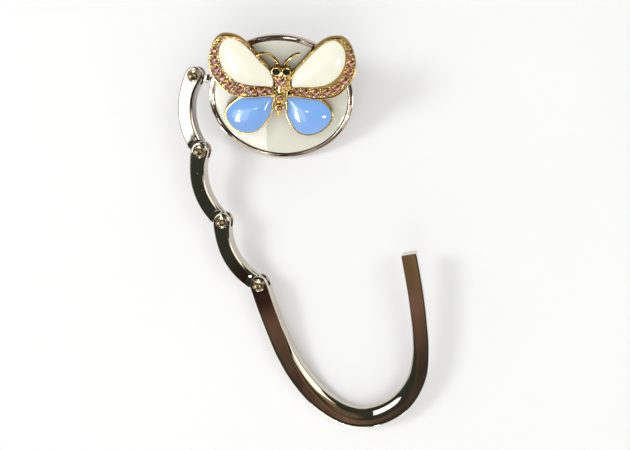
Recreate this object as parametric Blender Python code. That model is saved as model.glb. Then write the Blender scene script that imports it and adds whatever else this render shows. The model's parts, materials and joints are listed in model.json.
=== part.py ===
"""A folding purse hook, open on a table: a chromed disc with a butterfly, three links and a J hook."""

from math import atan2, cos, hypot, pi, radians, sin, sqrt, tan

import bmesh
import bpy
from mathutils import Euler, Matrix, Vector

# Clearances
fit_gap = 0.0003
fine_gap = 0.0002
stone_gap = 0.0001
cut_overrun = 0.002

# Disc, in its own frame: X runs from the neck to the centre, Z is the face's normal
disc_radius = 0.0225
disc_thickness = 0.0036
disc_edge_round = 0.0004
disc_wall_height = 0.0003
disc_taper = 0.0016
taper_shares = ((0, 0), (0.3, 0.12), (0.55, 0.32), (0.8, 0.6), (0.95, 0.84), (1, 1))
bezel_width = 0.0013
bezel_lip = 0.0004
enamel_recess = 0.0006
enamel_dome = 0.0006
pad_rim = 0.002
pad_recess = 0.0005
pad_thickness = 0.0011
pad_edge_round = 0.0003
disc_segments = 40

# Swivel neck between the disc and the chain
neck_radius = 0.00065
neck_drop = 0.0005
neck_showing = 0.0005
neck_head_radius = 0.00095
neck_head_length = 0.0008
neck_wall = 0.0022
flange_radius = 0.0015
flange_length = 0.0007
flange_reach = 0.00345
block_tongue_radius = 0.0022
block_arm_half_width = 0.0012

# Chain links
link_pitch = 0.02315
link_sagitta = 0.00365
link_thickness = 0.005
link_half_width = 0.00235
link_corner = 0.00035
ear_radius = 0.00275
tongue_radius = 0.0023
tongue_thickness = 0.0016
tongue_root = 0.006
shoulder_gap = 0.0004
shoulder_chamfer = 0.001
shoulder_chamfer_depth = 0.0007

# Pins
pin_radius = 0.0008
pin_head_radius = 0.0017
pin_head_height = 0.0004
pin_proud = 0.00015
pin_dish_radius = 0.00125
pin_dish_depth = 0.0004
pin_tail_radius = 0.0013
pin_segments = 20

# Hook
hook_span = 0.0511
hook_half_width = 0.0028
hook_thickness = 0.005
hook_path_shares = (
    (0, 0), (0.034, -0.104), (0.069, -0.203), (0.11, -0.309), (0.154, -0.409), (0.216, -0.525),
    (0.282, -0.618), (0.355, -0.7), (0.438, -0.766), (0.527, -0.814), (0.619, -0.833), (0.72, -0.82),
    (0.821, -0.772), (0.901, -0.704), (0.962, -0.609), (0.996, -0.509), (1.007, -0.399), (1.005, -0.302),
    (0.996, -0.204), (0.984, -0.106), (0.966, 0.012), (0.947, 0.112), (0.924, 0.226),
)
hook_width_shares = (
    (0, 1), (0.12, 0.975), (0.2, 1.046), (0.3, 1.096), (0.4, 1.1), (0.5, 1.093), (0.6, 1.071),
    (0.68, 0.996), (0.76, 0.889), (0.82, 0.85), (1, 0.85),
)
hook_corner_shares = ((0, 0.2), (0.28, 0.25), (0.45, 0.85), (0.7, 0.85), (0.86, 0.35), (1, 0.22))
crease_shares = (
    (0, 1), (0.12, 1), (0.2, 0.45), (0.3, 0.05), (0.4, -0.2), (0.5, -0.3), (0.58, -0.25), (0.65, -0.05),
    (0.72, 0.25), (0.77, 0.55), (0.82, 0.85), (0.86, 1), (1, 1),
)
crease_span_share = 1.3
slope_angle = radians(12)
slope_round = 0.0018
crown_angle = radians(26)
crown_least_share = 0.05
crown_round = 0.003
edge_chamfer = 0.0002

# Butterfly, in its own frame: Y runs from tail to head, Z is zero under the lower wings
wing_reach = 0.0218
butterfly_lift = 0.00145
lower_wing_thickness = 0.0013
upper_wing_thickness = 0.0018
wing_overlap = 0.0004
wing_bevel = 0.0003
cell_depth = 0.0007
cell_edge = 0.0001
wing_dome = 0.00045
butterfly_place_shares = (-0.085, 0.425)
butterfly_turn = radians(14.2)
butterfly_slant = 0.08
upper_wing_shift = 0.0003
upper_wing_shares = (
    (0.055, -0.215), (0.12, -0.235), (0.4, -0.29), (0.59, -0.285), (0.77, -0.22), (0.91, -0.055),
    (1, 0.14), (0.995, 0.335), (0.95, 0.5), (0.89, 0.61), (0.81, 0.675), (0.715, 0.685), (0.62, 0.665),
    (0.52, 0.605), (0.38, 0.465), (0.255, 0.3), (0.145, 0.165), (0.045, 0.07),
)
upper_cell_shares = (
    (0.135, -0.09), (0.27, -0.095), (0.455, -0.085), (0.635, -0.03), (0.775, 0.11), (0.845, 0.28),
    (0.85, 0.44), (0.805, 0.565), (0.71, 0.64), (0.62, 0.625), (0.53, 0.565), (0.4, 0.43), (0.285, 0.28),
    (0.18, 0.155), (0.135, 0.05),
)
lower_wing_shares = (
    (0.055, -0.25), (0.085, -0.45), (0.09, -0.585), (0.155, -0.74), (0.273, -0.91), (0.427, -0.968),
    (0.6, -0.923), (0.74, -0.773), (0.78, -0.61), (0.736, -0.477), (0.61, -0.35), (0.5, -0.25), (0.23, -0.21),
)
lower_cell_shares = (
    (0.105, -0.315), (0.113, -0.45), (0.116, -0.58), (0.178, -0.727), (0.288, -0.888), (0.43, -0.943),
    (0.588, -0.9), (0.717, -0.763), (0.755, -0.612), (0.713, -0.492), (0.6, -0.375), (0.5, -0.325),
    (0.27, -0.305),
)

# Stones: place shares of the wing's reach, diameter share of the largest band stone
band_stone_diameter = 0.00285
band_stone_shares = (
    (0.912, 0.445, 0.77), (0.928, 0.295, 0.9), (0.91, 0.145, 0.97), (0.845, 0.01, 1), (0.74, -0.105, 1),
    (0.605, -0.175, 1), (0.455, -0.19, 0.97), (0.31, -0.18, 0.87), (0.192, -0.165, 0.73),
)
stone_table_share = 0.56
stone_crown = 0.0004
stone_girdle = 0.0001
stone_pavilion = 0.0008
stone_culet_share = 0.2
seat_depth = 0.0011
thorax_stone_diameter = 0.0032
eye_stone_diameter = 0.0022
eye_place_shares = (0.071, 0.168)
abdomen_stone_diameter = 0.0019
abdomen_place_shares = (-0.262, -0.42)
collet_wall = 0.00035

# Butterfly body, antennae and post
body_half_height = 0.0015
body_lift = 0.0002
body_rings_shares = (
    (0.225, 0.02), (0.2, 0.06), (0.15, 0.1), (0.06, 0.11), (-0.06, 0.11), (-0.16, 0.085), (-0.24, 0.075),
    (-0.33, 0.078), (-0.44, 0.068), (-0.53, 0.045), (-0.62, 0.012),
)
collet_rise = 0.0003
antenna_radius = 0.00035
antenna_left_shares = (
    (-0.03, 0.18), (-0.06, 0.28), (-0.13, 0.385), (-0.215, 0.43), (-0.3, 0.42), (-0.335, 0.37),
    (-0.31, 0.325), (-0.265, 0.33),
)
antenna_right_shares = ((0.03, 0.18), (0.055, 0.28), (0.12, 0.37), (0.19, 0.425), (0.255, 0.445))
post_radius = 0.001
post_sink = 0.0005
post_top = 0.0018
post_place_share = -0.2

# Rest pose
neck_azimuth = radians(-14.3)
neck_sag = radians(16)
disc_turn = radians(27.6)
link_headings = (radians(3), radians(16.7), radians(30.2))
table_lean_x = radians(12.94)
table_lean_y = radians(-6.6)

disc_half = disc_thickness / 2
link_half = link_thickness / 2
centre_reach = flange_reach + flange_length + neck_showing + disc_radius
shoulder_radius = ear_radius + shoulder_gap
slot_half = tongue_thickness / 2 + fit_gap
enamel_floor = disc_half - enamel_recess
butterfly_base = enamel_floor + fine_gap + enamel_dome + butterfly_lift
upper_wing_base = lower_wing_thickness - wing_overlap
upper_wing_top = upper_wing_base + upper_wing_thickness
body_middle = body_half_height + body_lift
body_top = body_middle + body_half_height
collet_top = body_top + collet_rise


def clear_scene():
    for obj in list(bpy.data.objects):
        bpy.data.objects.remove(obj)


def material(name, colour, roughness, metallic):
    made = bpy.data.materials.new(name)
    made.use_nodes = True
    shader = made.node_tree.nodes["Principled BSDF"]
    shader.inputs["Base Color"].default_value = (*colour, 1)
    shader.inputs["Roughness"].default_value = roughness
    shader.inputs["Metallic"].default_value = metallic
    return made


def empty(name, parent, location, rotation=None):
    made = bpy.data.objects.new(name, None)
    bpy.context.collection.objects.link(made)
    made.parent = parent
    made.location = location
    if rotation:
        made.rotation_euler = rotation
    return made


def add(name, mesh_data, parent, look=None, location=(0, 0, 0), rotation=(0, 0, 0)):
    """Makes an object from a bmesh, which it frees. Without a look it is a helper that no render shows."""
    bmesh.ops.recalc_face_normals(mesh_data, faces=mesh_data.faces)
    mesh = bpy.data.meshes.new(name)
    mesh_data.to_mesh(mesh)
    mesh_data.free()
    mesh.shade_smooth()
    mesh.set_sharp_from_angle(angle=radians(35))
    made = bpy.data.objects.new(name, mesh)
    bpy.context.collection.objects.link(made)
    made.parent = parent
    made.location = location
    made.rotation_euler = rotation
    if look:
        mesh.materials.append(look)
    else:
        made.hide_render = True
        made.display_type = "WIRE"
    return made


def combine(obj, other, operation):
    step = obj.modifiers.new(other.name, "BOOLEAN")
    step.operation = operation
    step.solver = "EXACT"
    step.object = other


def combine_all(obj, others, operation):
    """One Boolean with a whole collection of helpers, which keeps thin crossings exact."""
    group = bpy.data.collections.new(f"{obj.name}_{operation.lower()}")
    for other in others:
        group.objects.link(other)
    step = obj.modifiers.new(group.name, "BOOLEAN")
    step.operation = operation
    step.solver = "EXACT"
    step.operand_type = "COLLECTION"
    step.collection = group


def cut(obj, *others):
    for other in others:
        combine(obj, other, "DIFFERENCE")


def fuse(obj, *others):
    for other in others:
        combine(obj, other, "UNION")


def rings_solid(rings, made=None):
    """A closed solid through rings of points with the same count, with a flat face at each end."""
    made = made or bmesh.new()
    loops = [[made.verts.new(point) for point in ring] for ring in rings]
    for low, high in zip(loops, loops[1:]):
        for i in range(len(low)):
            j = (i + 1) % len(low)
            made.faces.new((low[i], low[j], high[j], high[i]))
    made.faces.new(loops[0][::-1])
    made.faces.new(loops[-1])
    return made


def circle_points(radius, count, height, centre=(0, 0), start_share=0):
    turns = [2 * pi * (i + start_share) / count for i in range(count)]
    return [(centre[0] + radius * cos(t), centre[1] + radius * sin(t), height) for t in turns]


def turned(profile, count, centre=(0, 0), made=None):
    """A solid turned about Z from (radius, height) points."""
    return rings_solid([circle_points(radius, count, height, centre) for radius, height in profile], made)


def catmull(a, b, c, d, t):
    return tuple(
        0.5 * (2 * q + (r - p) * t + (2 * p - 5 * q + 4 * r - s) * t * t + (3 * q - p - 3 * r + s) * t**3)
        for p, q, r, s in zip(a, b, c, d)
    )


def smooth_loop(points, steps):
    count = len(points)
    return [
        catmull(*(points[(i + k - 1) % count] for k in range(4)), step / steps)
        for i in range(count)
        for step in range(steps)
    ]


def smooth_path(points, steps):
    ends = [points[0], *points, points[-1]]
    spans = range(len(points) - 1)
    walked = [catmull(*ends[i : i + 4], step / steps) for i in spans for step in range(steps)]
    return walked + [points[-1]]


def scaled(shares, size, side=1, slant=0):
    return [((side * x + slant * y) * size, y * size) for x, y in shares]


def inset(points, distance):
    """The outline moved inward, for points that run anticlockwise."""
    count = len(points)
    moved = []
    for i, (x, y) in enumerate(points):
        before, after = points[i - 1], points[(i + 1) % count]
        along = Vector((after[0] - before[0], after[1] - before[1])).normalized()
        moved.append((x - along.y * distance, y + along.x * distance))
    return moved


def anticlockwise(points):
    area = sum(a[0] * b[1] - b[0] * a[1] for a, b in zip(points, points[1:] + points[:1]))
    return points if area > 0 else points[::-1]


def plate(outline, low, high, edge):
    """A flat plate with both of its edges bevelled."""
    narrow = inset(outline, edge)
    levels = ((narrow, low), (outline, low + edge), (outline, high - edge), (narrow, high))
    return rings_solid([[(x, y, z) for x, y in ring] for ring, z in levels])


def domed_plate(outline, low, rim, top):
    """A plate with a crowned upper face, such as a cell full of enamel."""
    middle = Vector(sum(values) / len(outline) for values in zip(*outline))
    rings = [[(x, y, low) for x, y in outline], [(x, y, rim) for x, y in outline]]
    for spread in (0.86, 0.6, 0.25):
        height = rim + (top - rim) * sqrt(1 - spread * spread)
        spots = [middle.lerp(Vector(point), spread) for point in outline]
        rings.append([(x, y, height) for x, y in spots])
    return rings_solid(rings)


def bar_section(half_width, half_height, corner, per_corner):
    """Points of a rectangle with rounded corners, as (across, up)."""
    corner = min(corner, half_width * 0.98, half_height * 0.98)
    points = []
    for quarter in range(4):
        across = (half_width - corner) * (1 if quarter in (0, 3) else -1)
        up = (half_height - corner) * (1 if quarter in (0, 1) else -1)
        for k in range(per_corner):
            turn = (quarter + k / (per_corner - 1)) * pi / 2
            points.append((across + corner * cos(turn), up + corner * sin(turn)))
    return points


def swept(places, sections):
    """A solid along places of (x, y, heading), with a section of (across, up) points at each."""
    rings = []
    for (x, y, heading), section in zip(places, sections):
        side_x, side_y = -sin(heading), cos(heading)
        rings.append([(x + side_x * across, y + side_y * across, up) for across, up in section])
    return rings_solid(rings)


def bar(stations, half_height, per_corner):
    """A bar that lies along stations of (x, y, heading, half width, corner)."""
    sections = [bar_section(width, half_height, corner, per_corner) for *_, width, corner in stations]
    return swept([station[:3] for station in stations], sections)


def headings(path):
    found = []
    for i in range(len(path)):
        before, after = path[max(i - 1, 0)], path[min(i + 1, len(path) - 1)]
        found.append(atan2(after[1] - before[1], after[0] - before[0]))
    return found


def round_end(x, y, heading, radius, corner, steps, start):
    """Stations of a half-round end about a point, before a path if start is 1 and after it if start is -1."""
    stations = []
    for k in range(steps):
        turn = (k + 0.7) / (steps + 0.7) * pi / 2
        back = -start * radius * cos(turn)
        spot = (x + back * cos(heading), y + back * sin(heading))
        stations.append((*spot, heading, radius * sin(turn), corner))
    return stations if start > 0 else stations[::-1]


def disc_looks():
    return {
        "chrome": material("polished_chrome", (0.75, 0.72, 0.7), 0.12, 1),
        "cream": material("cream_enamel", (0.93, 0.91, 0.8), 0.15, 0),
        "rubber": material("black_rubber", (0.03, 0.03, 0.03), 0.8, 0),
        "gold": material("gold_plate", (0.83, 0.6, 0.25), 0.2, 1),
        "wing_cream": material("wing_cream_enamel", (1, 0.96, 0.8), 0.12, 0),
        "blue": material("wing_blue_enamel", (0.25, 0.45, 0.85), 0.1, 0),
        "pink": material("pink_glass", (0.65, 0.28, 0.27), 0.05, 0),
        "black": material("black_glass", (0.01, 0.01, 0.01), 0.05, 0),
        "brass": material("brass_rivet", (0.78, 0.62, 0.36), 0.2, 1),
    }


def disc_case(frame, look):
    """The chromed case: rim, bezel lip, a recess in front for the enamel and one behind for the pad."""
    inner = disc_radius - bezel_width
    pad_radius = disc_radius - pad_rim
    floor = -disc_half + pad_recess
    back_radius = disc_radius - disc_taper
    taper_height = disc_thickness - disc_edge_round - disc_wall_height
    taper = [(back_radius + disc_taper * out, -disc_half + taper_height * up) for out, up in taper_shares]
    profile = (
        (0, floor),
        (pad_radius, floor),
        (pad_radius, -disc_half),
        *taper,
        (disc_radius, disc_half - disc_edge_round),
        (disc_radius - disc_edge_round * 0.3, disc_half - disc_edge_round * 0.3),
        (disc_radius - disc_edge_round, disc_half),
        (inner + bezel_lip * 0.5, disc_half),
        (inner, disc_half - bezel_lip * 0.5),
        (inner, enamel_floor),
        (0, enamel_floor),
    )
    case = add("disc_case", turned_with_centre(profile, disc_segments), frame, look)
    cut(case, neck_pocket(frame), post_hole("case_post_hole", frame, enamel_floor - post_sink, disc_half))
    return case


def turned_with_centre(profile, count):
    """A turned solid whose first and last points lie on the axis, with a flat of its edge under the disc."""
    made = bmesh.new()
    rings = []
    for radius, height in profile[1:-1]:
        points = circle_points(radius, count, height, (0, 0), 0.5)
        rings.append([made.verts.new(point) for point in points])
    for low, high in zip(rings, rings[1:]):
        for i in range(count):
            j = (i + 1) % count
            made.faces.new((low[i], low[j], high[j], high[i]))
    made.faces.new(rings[0][::-1])
    made.faces.new(rings[-1])
    return made


def box(low, high, made=None):
    (x0, y0, z0), (x1, y1, z1) = low, high
    flat = ((x0, y0), (x1, y0), (x1, y1), (x0, y1))
    return rings_solid([[(x, y, z) for x, y in flat] for z in (z0, z1)], made)


def neck_pocket(frame):
    """The slot and pocket, open to the back, that take the neck and its head."""
    slot_half_width = neck_radius + fine_gap
    head_half_width = neck_head_radius + fine_gap
    pocket_out = -(disc_radius - neck_wall)
    pocket_in = pocket_out + neck_head_length + 2 * fit_gap
    low = -disc_half - cut_overrun
    slot = box(
        (-disc_radius - cut_overrun, -slot_half_width, low),
        (pocket_in, slot_half_width, slot_half_width - neck_drop),
    )
    slot_cutter = add("neck_slot", slot, frame)
    pocket = box(
        (pocket_out, -head_half_width, low),
        (pocket_in, head_half_width, head_half_width - neck_drop),
    )
    pocket_cutter = add("neck_head_pocket", pocket, frame)
    fuse(pocket_cutter, slot_cutter)
    return pocket_cutter


def post_spot():
    """The post's place in the disc's frame."""
    place = Vector(share * disc_radius for share in butterfly_place_shares)
    place += Matrix.Rotation(butterfly_turn, 2) @ Vector(body_place(post_place_share))
    return place.x, place.y


def post_hole(name, frame, low, high):
    radius = post_radius + fine_gap
    return add(name, turned(((radius, low), (radius, high)), pin_segments, post_spot()), frame)


def enamel_face(frame, look):
    radius = disc_radius - bezel_width - fine_gap
    low = enamel_floor + fine_gap
    rim = disc_half - bezel_lip * 0.5
    top = low + enamel_dome
    steps = (0.98, 0.9, 0.7, 0.4)
    rise = [(radius * share, rim + (top - rim) * (1 - share * share)) for share in steps]
    profile = [(0, low), (radius, low), (radius, rim - bezel_lip * 0.5), *rise, (0, top)]
    face = add("enamel_face", turned_with_centre(profile, disc_segments), frame, look)
    cut(face, post_hole("enamel_post_hole", frame, low - cut_overrun, top + cut_overrun))


def rubber_pad(frame, look):
    radius = disc_radius - pad_rim - fit_gap
    top = -disc_half + pad_recess - fit_gap
    low = top - pad_thickness
    profile = (
        (0, low),
        (radius - pad_edge_round, low),
        (radius, low + pad_edge_round),
        (radius, top),
        (0, top),
    )
    add("rubber_pad", turned_with_centre(profile, disc_segments), frame, look)


def butterfly_post(frame, look):
    low = enamel_floor - post_sink + fine_gap
    high = butterfly_base + post_top
    solid = turned(((post_radius, low), (post_radius, high)), pin_segments, post_spot())
    add("butterfly_post", solid, frame, look)


def wing_outline(shares, side):
    """The upper wings stand a little to the right, and all below them leans with the body."""
    if shares in (upper_wing_shares, upper_cell_shares):
        points = [(x + upper_wing_shift, y) for x, y in scaled(shares, wing_reach, side)]
    else:
        points = scaled(shares, wing_reach, side, butterfly_slant)
    return anticlockwise(smooth_loop(points, 2))


def wing_plate(name, frame, shares, side, low, high):
    return add(name, plate(wing_outline(shares, side), low, high, wing_bevel), frame)


def cell_cutter(name, frame, shares, side, top):
    outline = wing_outline(shares, side)
    levels = (top - cell_depth, top + cut_overrun)
    return add(name, rings_solid([[(x, y, z) for x, y in outline] for z in levels]), frame)


def cell_enamel(name, frame, shares, side, top, look):
    outline = inset(wing_outline(shares, side), fine_gap)
    low = top - cell_depth + fine_gap
    add(name, domed_plate(outline, low, top - cell_edge, top + wing_dome), frame, look)


def butterfly_body():
    """The body's long swelling form, from the head to the pointed tail."""
    turns = [2 * pi * i / 12 for i in range(12)]
    rings = []
    for along, half in body_rings_shares:
        middle, across = body_place(along), half * wing_reach
        rings.append([(middle[0] + across * cos(t), middle[1], swell(half, sin(t))) for t in turns])
    return rings_solid(rings)


def body_place(share):
    return butterfly_slant * share * wing_reach, share * wing_reach


def swell(half_share, rise):
    fullness = min(1, sqrt(half_share / body_rings_shares[3][1]))
    return body_middle + body_half_height * rise * fullness


def tube(path, radius, sides, made=None):
    """A round wire through points in space."""
    rings = []
    for i, point in enumerate(path):
        along = (Vector(path[min(i + 1, len(path) - 1)]) - Vector(path[max(i - 1, 0)])).normalized()
        side = Vector((-along.y, along.x, 0)).normalized()
        up = along.cross(side)
        turns = [2 * pi * k / sides for k in range(sides)]
        rings.append([Vector(point) + radius * (cos(t) * side + sin(t) * up) for t in turns])
    return rings_solid(rings, made)


def antenna(name, frame, shares):
    flat = smooth_path(scaled(shares, wing_reach), 2)
    rise = upper_wing_top + antenna_radius * 0.6 - body_middle
    path = [(x, y, body_middle + rise * min(1, 2 * i / len(flat))) for i, (x, y) in enumerate(flat)]
    return add(name, tube(path, antenna_radius, 8), frame)


def collet(name, frame, x, y, diameter):
    """The raised ring of metal that holds a stone on the body."""
    radius = diameter / 2 + collet_wall
    profile = ((radius, body_middle), (radius, collet_top - wing_bevel), (radius - wing_bevel, collet_top))
    return add(name, turned(profile, 14, (x, y)), frame)


def stone_places():
    """Every stone as (name, x, y, diameter, height of its setting's top)."""
    places = []
    for word, side in (("left", -1), ("right", 1)):
        for number, (x, y, size) in enumerate(band_stone_shares, 1):
            spot = (side * x * wing_reach + upper_wing_shift, y * wing_reach)
            places.append((f"wing_stone_{word}_{number}", *spot, size * band_stone_diameter, upper_wing_top))
    for word, side in (("left", -1), ("right", 1)):
        x, y = (share * wing_reach for share in eye_place_shares)
        places.append((f"eye_stone_{word}", side * x, y, eye_stone_diameter, collet_top))
    places.append(("thorax_stone", 0, 0, thorax_stone_diameter, collet_top))
    for number, share in enumerate(abdomen_place_shares, 1):
        name = f"abdomen_stone_{number}"
        places.append((name, *body_place(share), abdomen_stone_diameter, collet_top))
    return places


def seat_cutter(frame):
    """All of the stones' seats as one cutter."""
    made = bmesh.new()
    for _, x, y, diameter, top in stone_places():
        radius = diameter / 2 + stone_gap
        turned(((radius, top - seat_depth), (radius, top + cut_overrun)), 10, (x, y), made)
    return add("stone_seats", made, frame)


def cut_stone(diameter):
    """A round stone: flat table, crown of facets, girdle and a pointed underside."""
    radius = diameter / 2
    size = diameter / band_stone_diameter
    made = bmesh.new()
    half_step = pi / 8
    profile = (
        (radius * stone_culet_share, -stone_pavilion * size, 0),
        (radius, 0, 0),
        (radius, stone_girdle, 0),
        (radius * stone_table_share, stone_girdle + stone_crown * size, 1),
    )
    loops = []
    for wide, height, turn in profile:
        angles = [2 * pi * i / 8 + turn * half_step for i in range(8)]
        loops.append([made.verts.new((wide * cos(t), wide * sin(t), height)) for t in angles])
    for low, high in zip(loops[:2], loops[1:3]):
        for i in range(8):
            j = (i + 1) % 8
            made.faces.new((low[i], low[j], high[j], high[i]))
    girdle, table = loops[2], loops[3]
    for i in range(8):
        j = (i + 1) % 8
        made.faces.new((girdle[i], girdle[j], table[i]))
        made.faces.new((table[i], girdle[j], table[j]))
    made.faces.new(loops[0][::-1])
    made.faces.new(table)
    return made


def stones(frame, looks):
    for name, x, y, diameter, top in stone_places():
        look = looks["black"] if name.startswith("eye") else looks["pink"]
        add(name, cut_stone(diameter), frame, look, (x, y, top))


def post_socket(frame):
    radius = post_radius + fine_gap
    profile = ((radius, -cut_overrun), (radius, post_top + fine_gap))
    return add("post_socket", turned(profile, pin_segments, body_place(post_place_share)), frame)


def butterfly_frame(frame, looks):
    """The gold casting: body, four wings with their cells, collets, stone seats and two antennae."""
    gold = add("butterfly_frame", butterfly_body(), frame, looks["gold"])
    joined, cutters = [], []
    for word, side in (("left", -1), ("right", 1)):
        low = wing_plate(f"lower_wing_{word}", frame, lower_wing_shares, side, 0, lower_wing_thickness)
        high = wing_plate(
            f"upper_wing_{word}", frame, upper_wing_shares, side, upper_wing_base, upper_wing_top
        )
        joined += [low, high]
        cells = (
            ("upper", upper_cell_shares, upper_wing_top),
            ("lower", lower_cell_shares, lower_wing_thickness),
        )
        for part, shares, top in cells:
            cutters.append(cell_cutter(f"cell_{part}_{word}", frame, shares, side, top))
            look = looks["wing_cream"] if part == "upper" else looks["blue"]
            cell_enamel(f"enamel_{part}_{word}", frame, shares, side, top, look)
    for name, x, y, diameter, top in stone_places():
        if top > upper_wing_top:
            joined.append(collet(f"collet_{name}", frame, x, y, diameter))
    joined.append(antenna("antenna_left", frame, antenna_left_shares))
    joined.append(antenna("antenna_right", frame, antenna_right_shares))
    combine_all(gold, joined, "UNION")
    cutters.append(post_socket(frame))
    cutters.append(seat_cutter(frame))
    combine_all(gold, cutters, "DIFFERENCE")


def disc(pivot, looks):
    """The disc and all that it carries, about a pivot on the neck's axis."""
    frame = empty("disc_frame", pivot, (centre_reach, 0, neck_drop))
    disc_case(frame, looks["chrome"])
    enamel_face(frame, looks["cream"])
    rubber_pad(frame, looks["rubber"])
    butterfly_post(frame, looks["gold"])
    spot = [share * disc_radius for share in butterfly_place_shares]
    butterfly = empty("butterfly", frame, (*spot, butterfly_base), Euler((0, 0, butterfly_turn)))
    butterfly_frame(butterfly, looks)
    stones(butterfly, looks)


def along_x(profile, count):
    """A solid turned about X from (radius, distance) points."""
    made = turned(profile, count)
    bmesh.ops.transform(made, matrix=Matrix.Rotation(pi / 2, 4, "Y"), verts=made.verts)
    return made


def swivel_block(pivot, neck_frame, look):
    """The block between the first link's ears: round tongue, flange, neck and the head inside the disc."""
    tongue = block_tongue_radius
    arm = [(share * flange_reach, 0, 0, block_arm_half_width, link_corner) for share in (0.3, 0.7, 1.06)]
    heading = neck_azimuth
    stations = [(x * cos(heading), x * sin(heading), heading, w, c) for x, _, _, w, c in arm]
    block = add("swivel_block", bar(stations, tongue_thickness / 2, 3), pivot, look)
    barrel = ((tongue, -tongue_thickness / 2), (tongue, tongue_thickness / 2))
    fuse(block, add("block_barrel", turned(barrel, 28), pivot))
    rim = centre_reach - disc_radius
    head_start = rim + neck_wall + fit_gap
    profile = (
        (flange_radius, flange_reach),
        (flange_radius, flange_reach + flange_length),
        (neck_radius, flange_reach + flange_length),
        (neck_radius, head_start),
        (neck_head_radius, head_start),
        (neck_head_radius, head_start + neck_head_length),
    )
    fuse(block, add("block_neck", along_x(profile, 18), neck_frame))
    cut(block, pin_hole("block_hole", pivot))


def pin_hole(name, frame, place=(0, 0)):
    radius = pin_radius + fine_gap
    reach = link_half + cut_overrun
    return add(name, turned(((radius, -reach), (radius, reach)), pin_segments, place), frame)


def counterbores(name, frame):
    """Both recesses round a pin, one for its head and one for its tail."""
    floor = link_half - pin_head_height
    wide, narrow = pin_head_radius + fine_gap, pin_tail_radius + fine_gap
    top = link_half + cut_overrun
    made = turned(((wide, floor), (wide, top)), pin_segments)
    turned(((narrow, -top), (narrow, -floor)), pin_segments, (0, 0), made)
    return add(name, made, frame)


def fork_cutters(name, frame):
    """What makes a bar's end a fork: its slot, its hole and the counterbores."""
    reach = shoulder_radius
    slot = add(f"{name}_slot", turned(((reach, -slot_half), (reach, slot_half)), 28), frame)
    return slot, pin_hole(f"{name}_fork_hole", frame), counterbores(f"{name}_counterbores", frame)


def link_centre(share):
    """A point of the link's arc, and its heading, at a share of the way from its own pin to the next."""
    radius = (link_pitch**2 / 4 + link_sagitta**2) / (2 * link_sagitta)
    half_turn = 2 * atan2(2 * link_sagitta, link_pitch)
    turn = half_turn * (2 * share - 1)
    x = radius - link_sagitta - radius * cos(turn)
    y = -link_pitch / 2 - radius * sin(turn)
    return x, y, atan2(-cos(turn), sin(turn))


def link_stations():
    x, y, heading = link_centre(0)
    stations = round_end(x, y, heading, ear_radius, link_corner, 6, 1)
    widths = ((0, 1), (0.06, 0.85), (0.14, 0.35), (0.24, 0.08))
    for share, ear_share in widths:
        half = link_half_width + (ear_radius - link_half_width) * ear_share
        stations.append((*link_centre(share), half, link_corner))
    for step in range(4, 12):
        stations.append((*link_centre(step / 12), link_half_width, link_corner))
    stations.append((*link_centre(0.955), link_half_width, link_corner))
    return stations


def link_tongue(name, frame):
    """The thin end that goes into the next fork."""
    x, y, heading = link_centre(1 - tongue_root / link_pitch)
    end = (0, -link_pitch)
    aim = atan2(end[1] - y, end[0] - x)
    stations = [(x, y, aim, tongue_radius, link_corner), (*end, aim, tongue_radius, link_corner)]
    stations += round_end(*end, aim, tongue_radius, link_corner, 6, -1)
    return add(f"{name}_tongue", bar(stations, tongue_thickness / 2, 3), frame)


def shoulder_cutter(name, frame):
    """The round gap about the next pin, widened towards both faces."""
    deep = link_half - shoulder_chamfer_depth
    wide = shoulder_radius + shoulder_chamfer
    past = link_half + cut_overrun
    wider = wide + shoulder_chamfer * cut_overrun / shoulder_chamfer_depth
    profile = ((wider, -past), (shoulder_radius, -deep), (shoulder_radius, deep), (wider, past))
    return add(f"{name}_shoulder", turned(profile, 28, (0, -link_pitch)), frame)


def link(name, frame, look):
    made = add(name, bar(link_stations(), link_half, 3), frame, look)
    cut(made, shoulder_cutter(name, frame))
    fuse(made, link_tongue(name, frame))
    cut(made, *fork_cutters(name, frame), pin_hole(f"{name}_tongue_hole", frame, (0, -link_pitch)))


def pin(name, frame, look):
    """A pin with a dished head above and a plain tail below."""
    floor = link_half - pin_head_height + fine_gap
    top = link_half + pin_proud
    dish = [(pin_dish_radius * share, top - pin_dish_depth * (1 - share * share)) for share in (1, 0.75, 0.4)]
    profile = (
        (pin_tail_radius, -link_half),
        (pin_tail_radius, -floor),
        (pin_radius, -floor),
        (pin_radius, floor),
        (pin_head_radius, floor),
        (pin_head_radius, top - pin_proud),
        (pin_head_radius - pin_proud, top),
        *dish,
    )
    add(name, turned(profile, pin_segments), frame, look)


def blend(table, share):
    for (a, low), (b, high) in zip(table, table[1:]):
        if share <= b:
            return low + (high - low) * (share - a) / (b - a)
    return table[-1][1]


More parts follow.
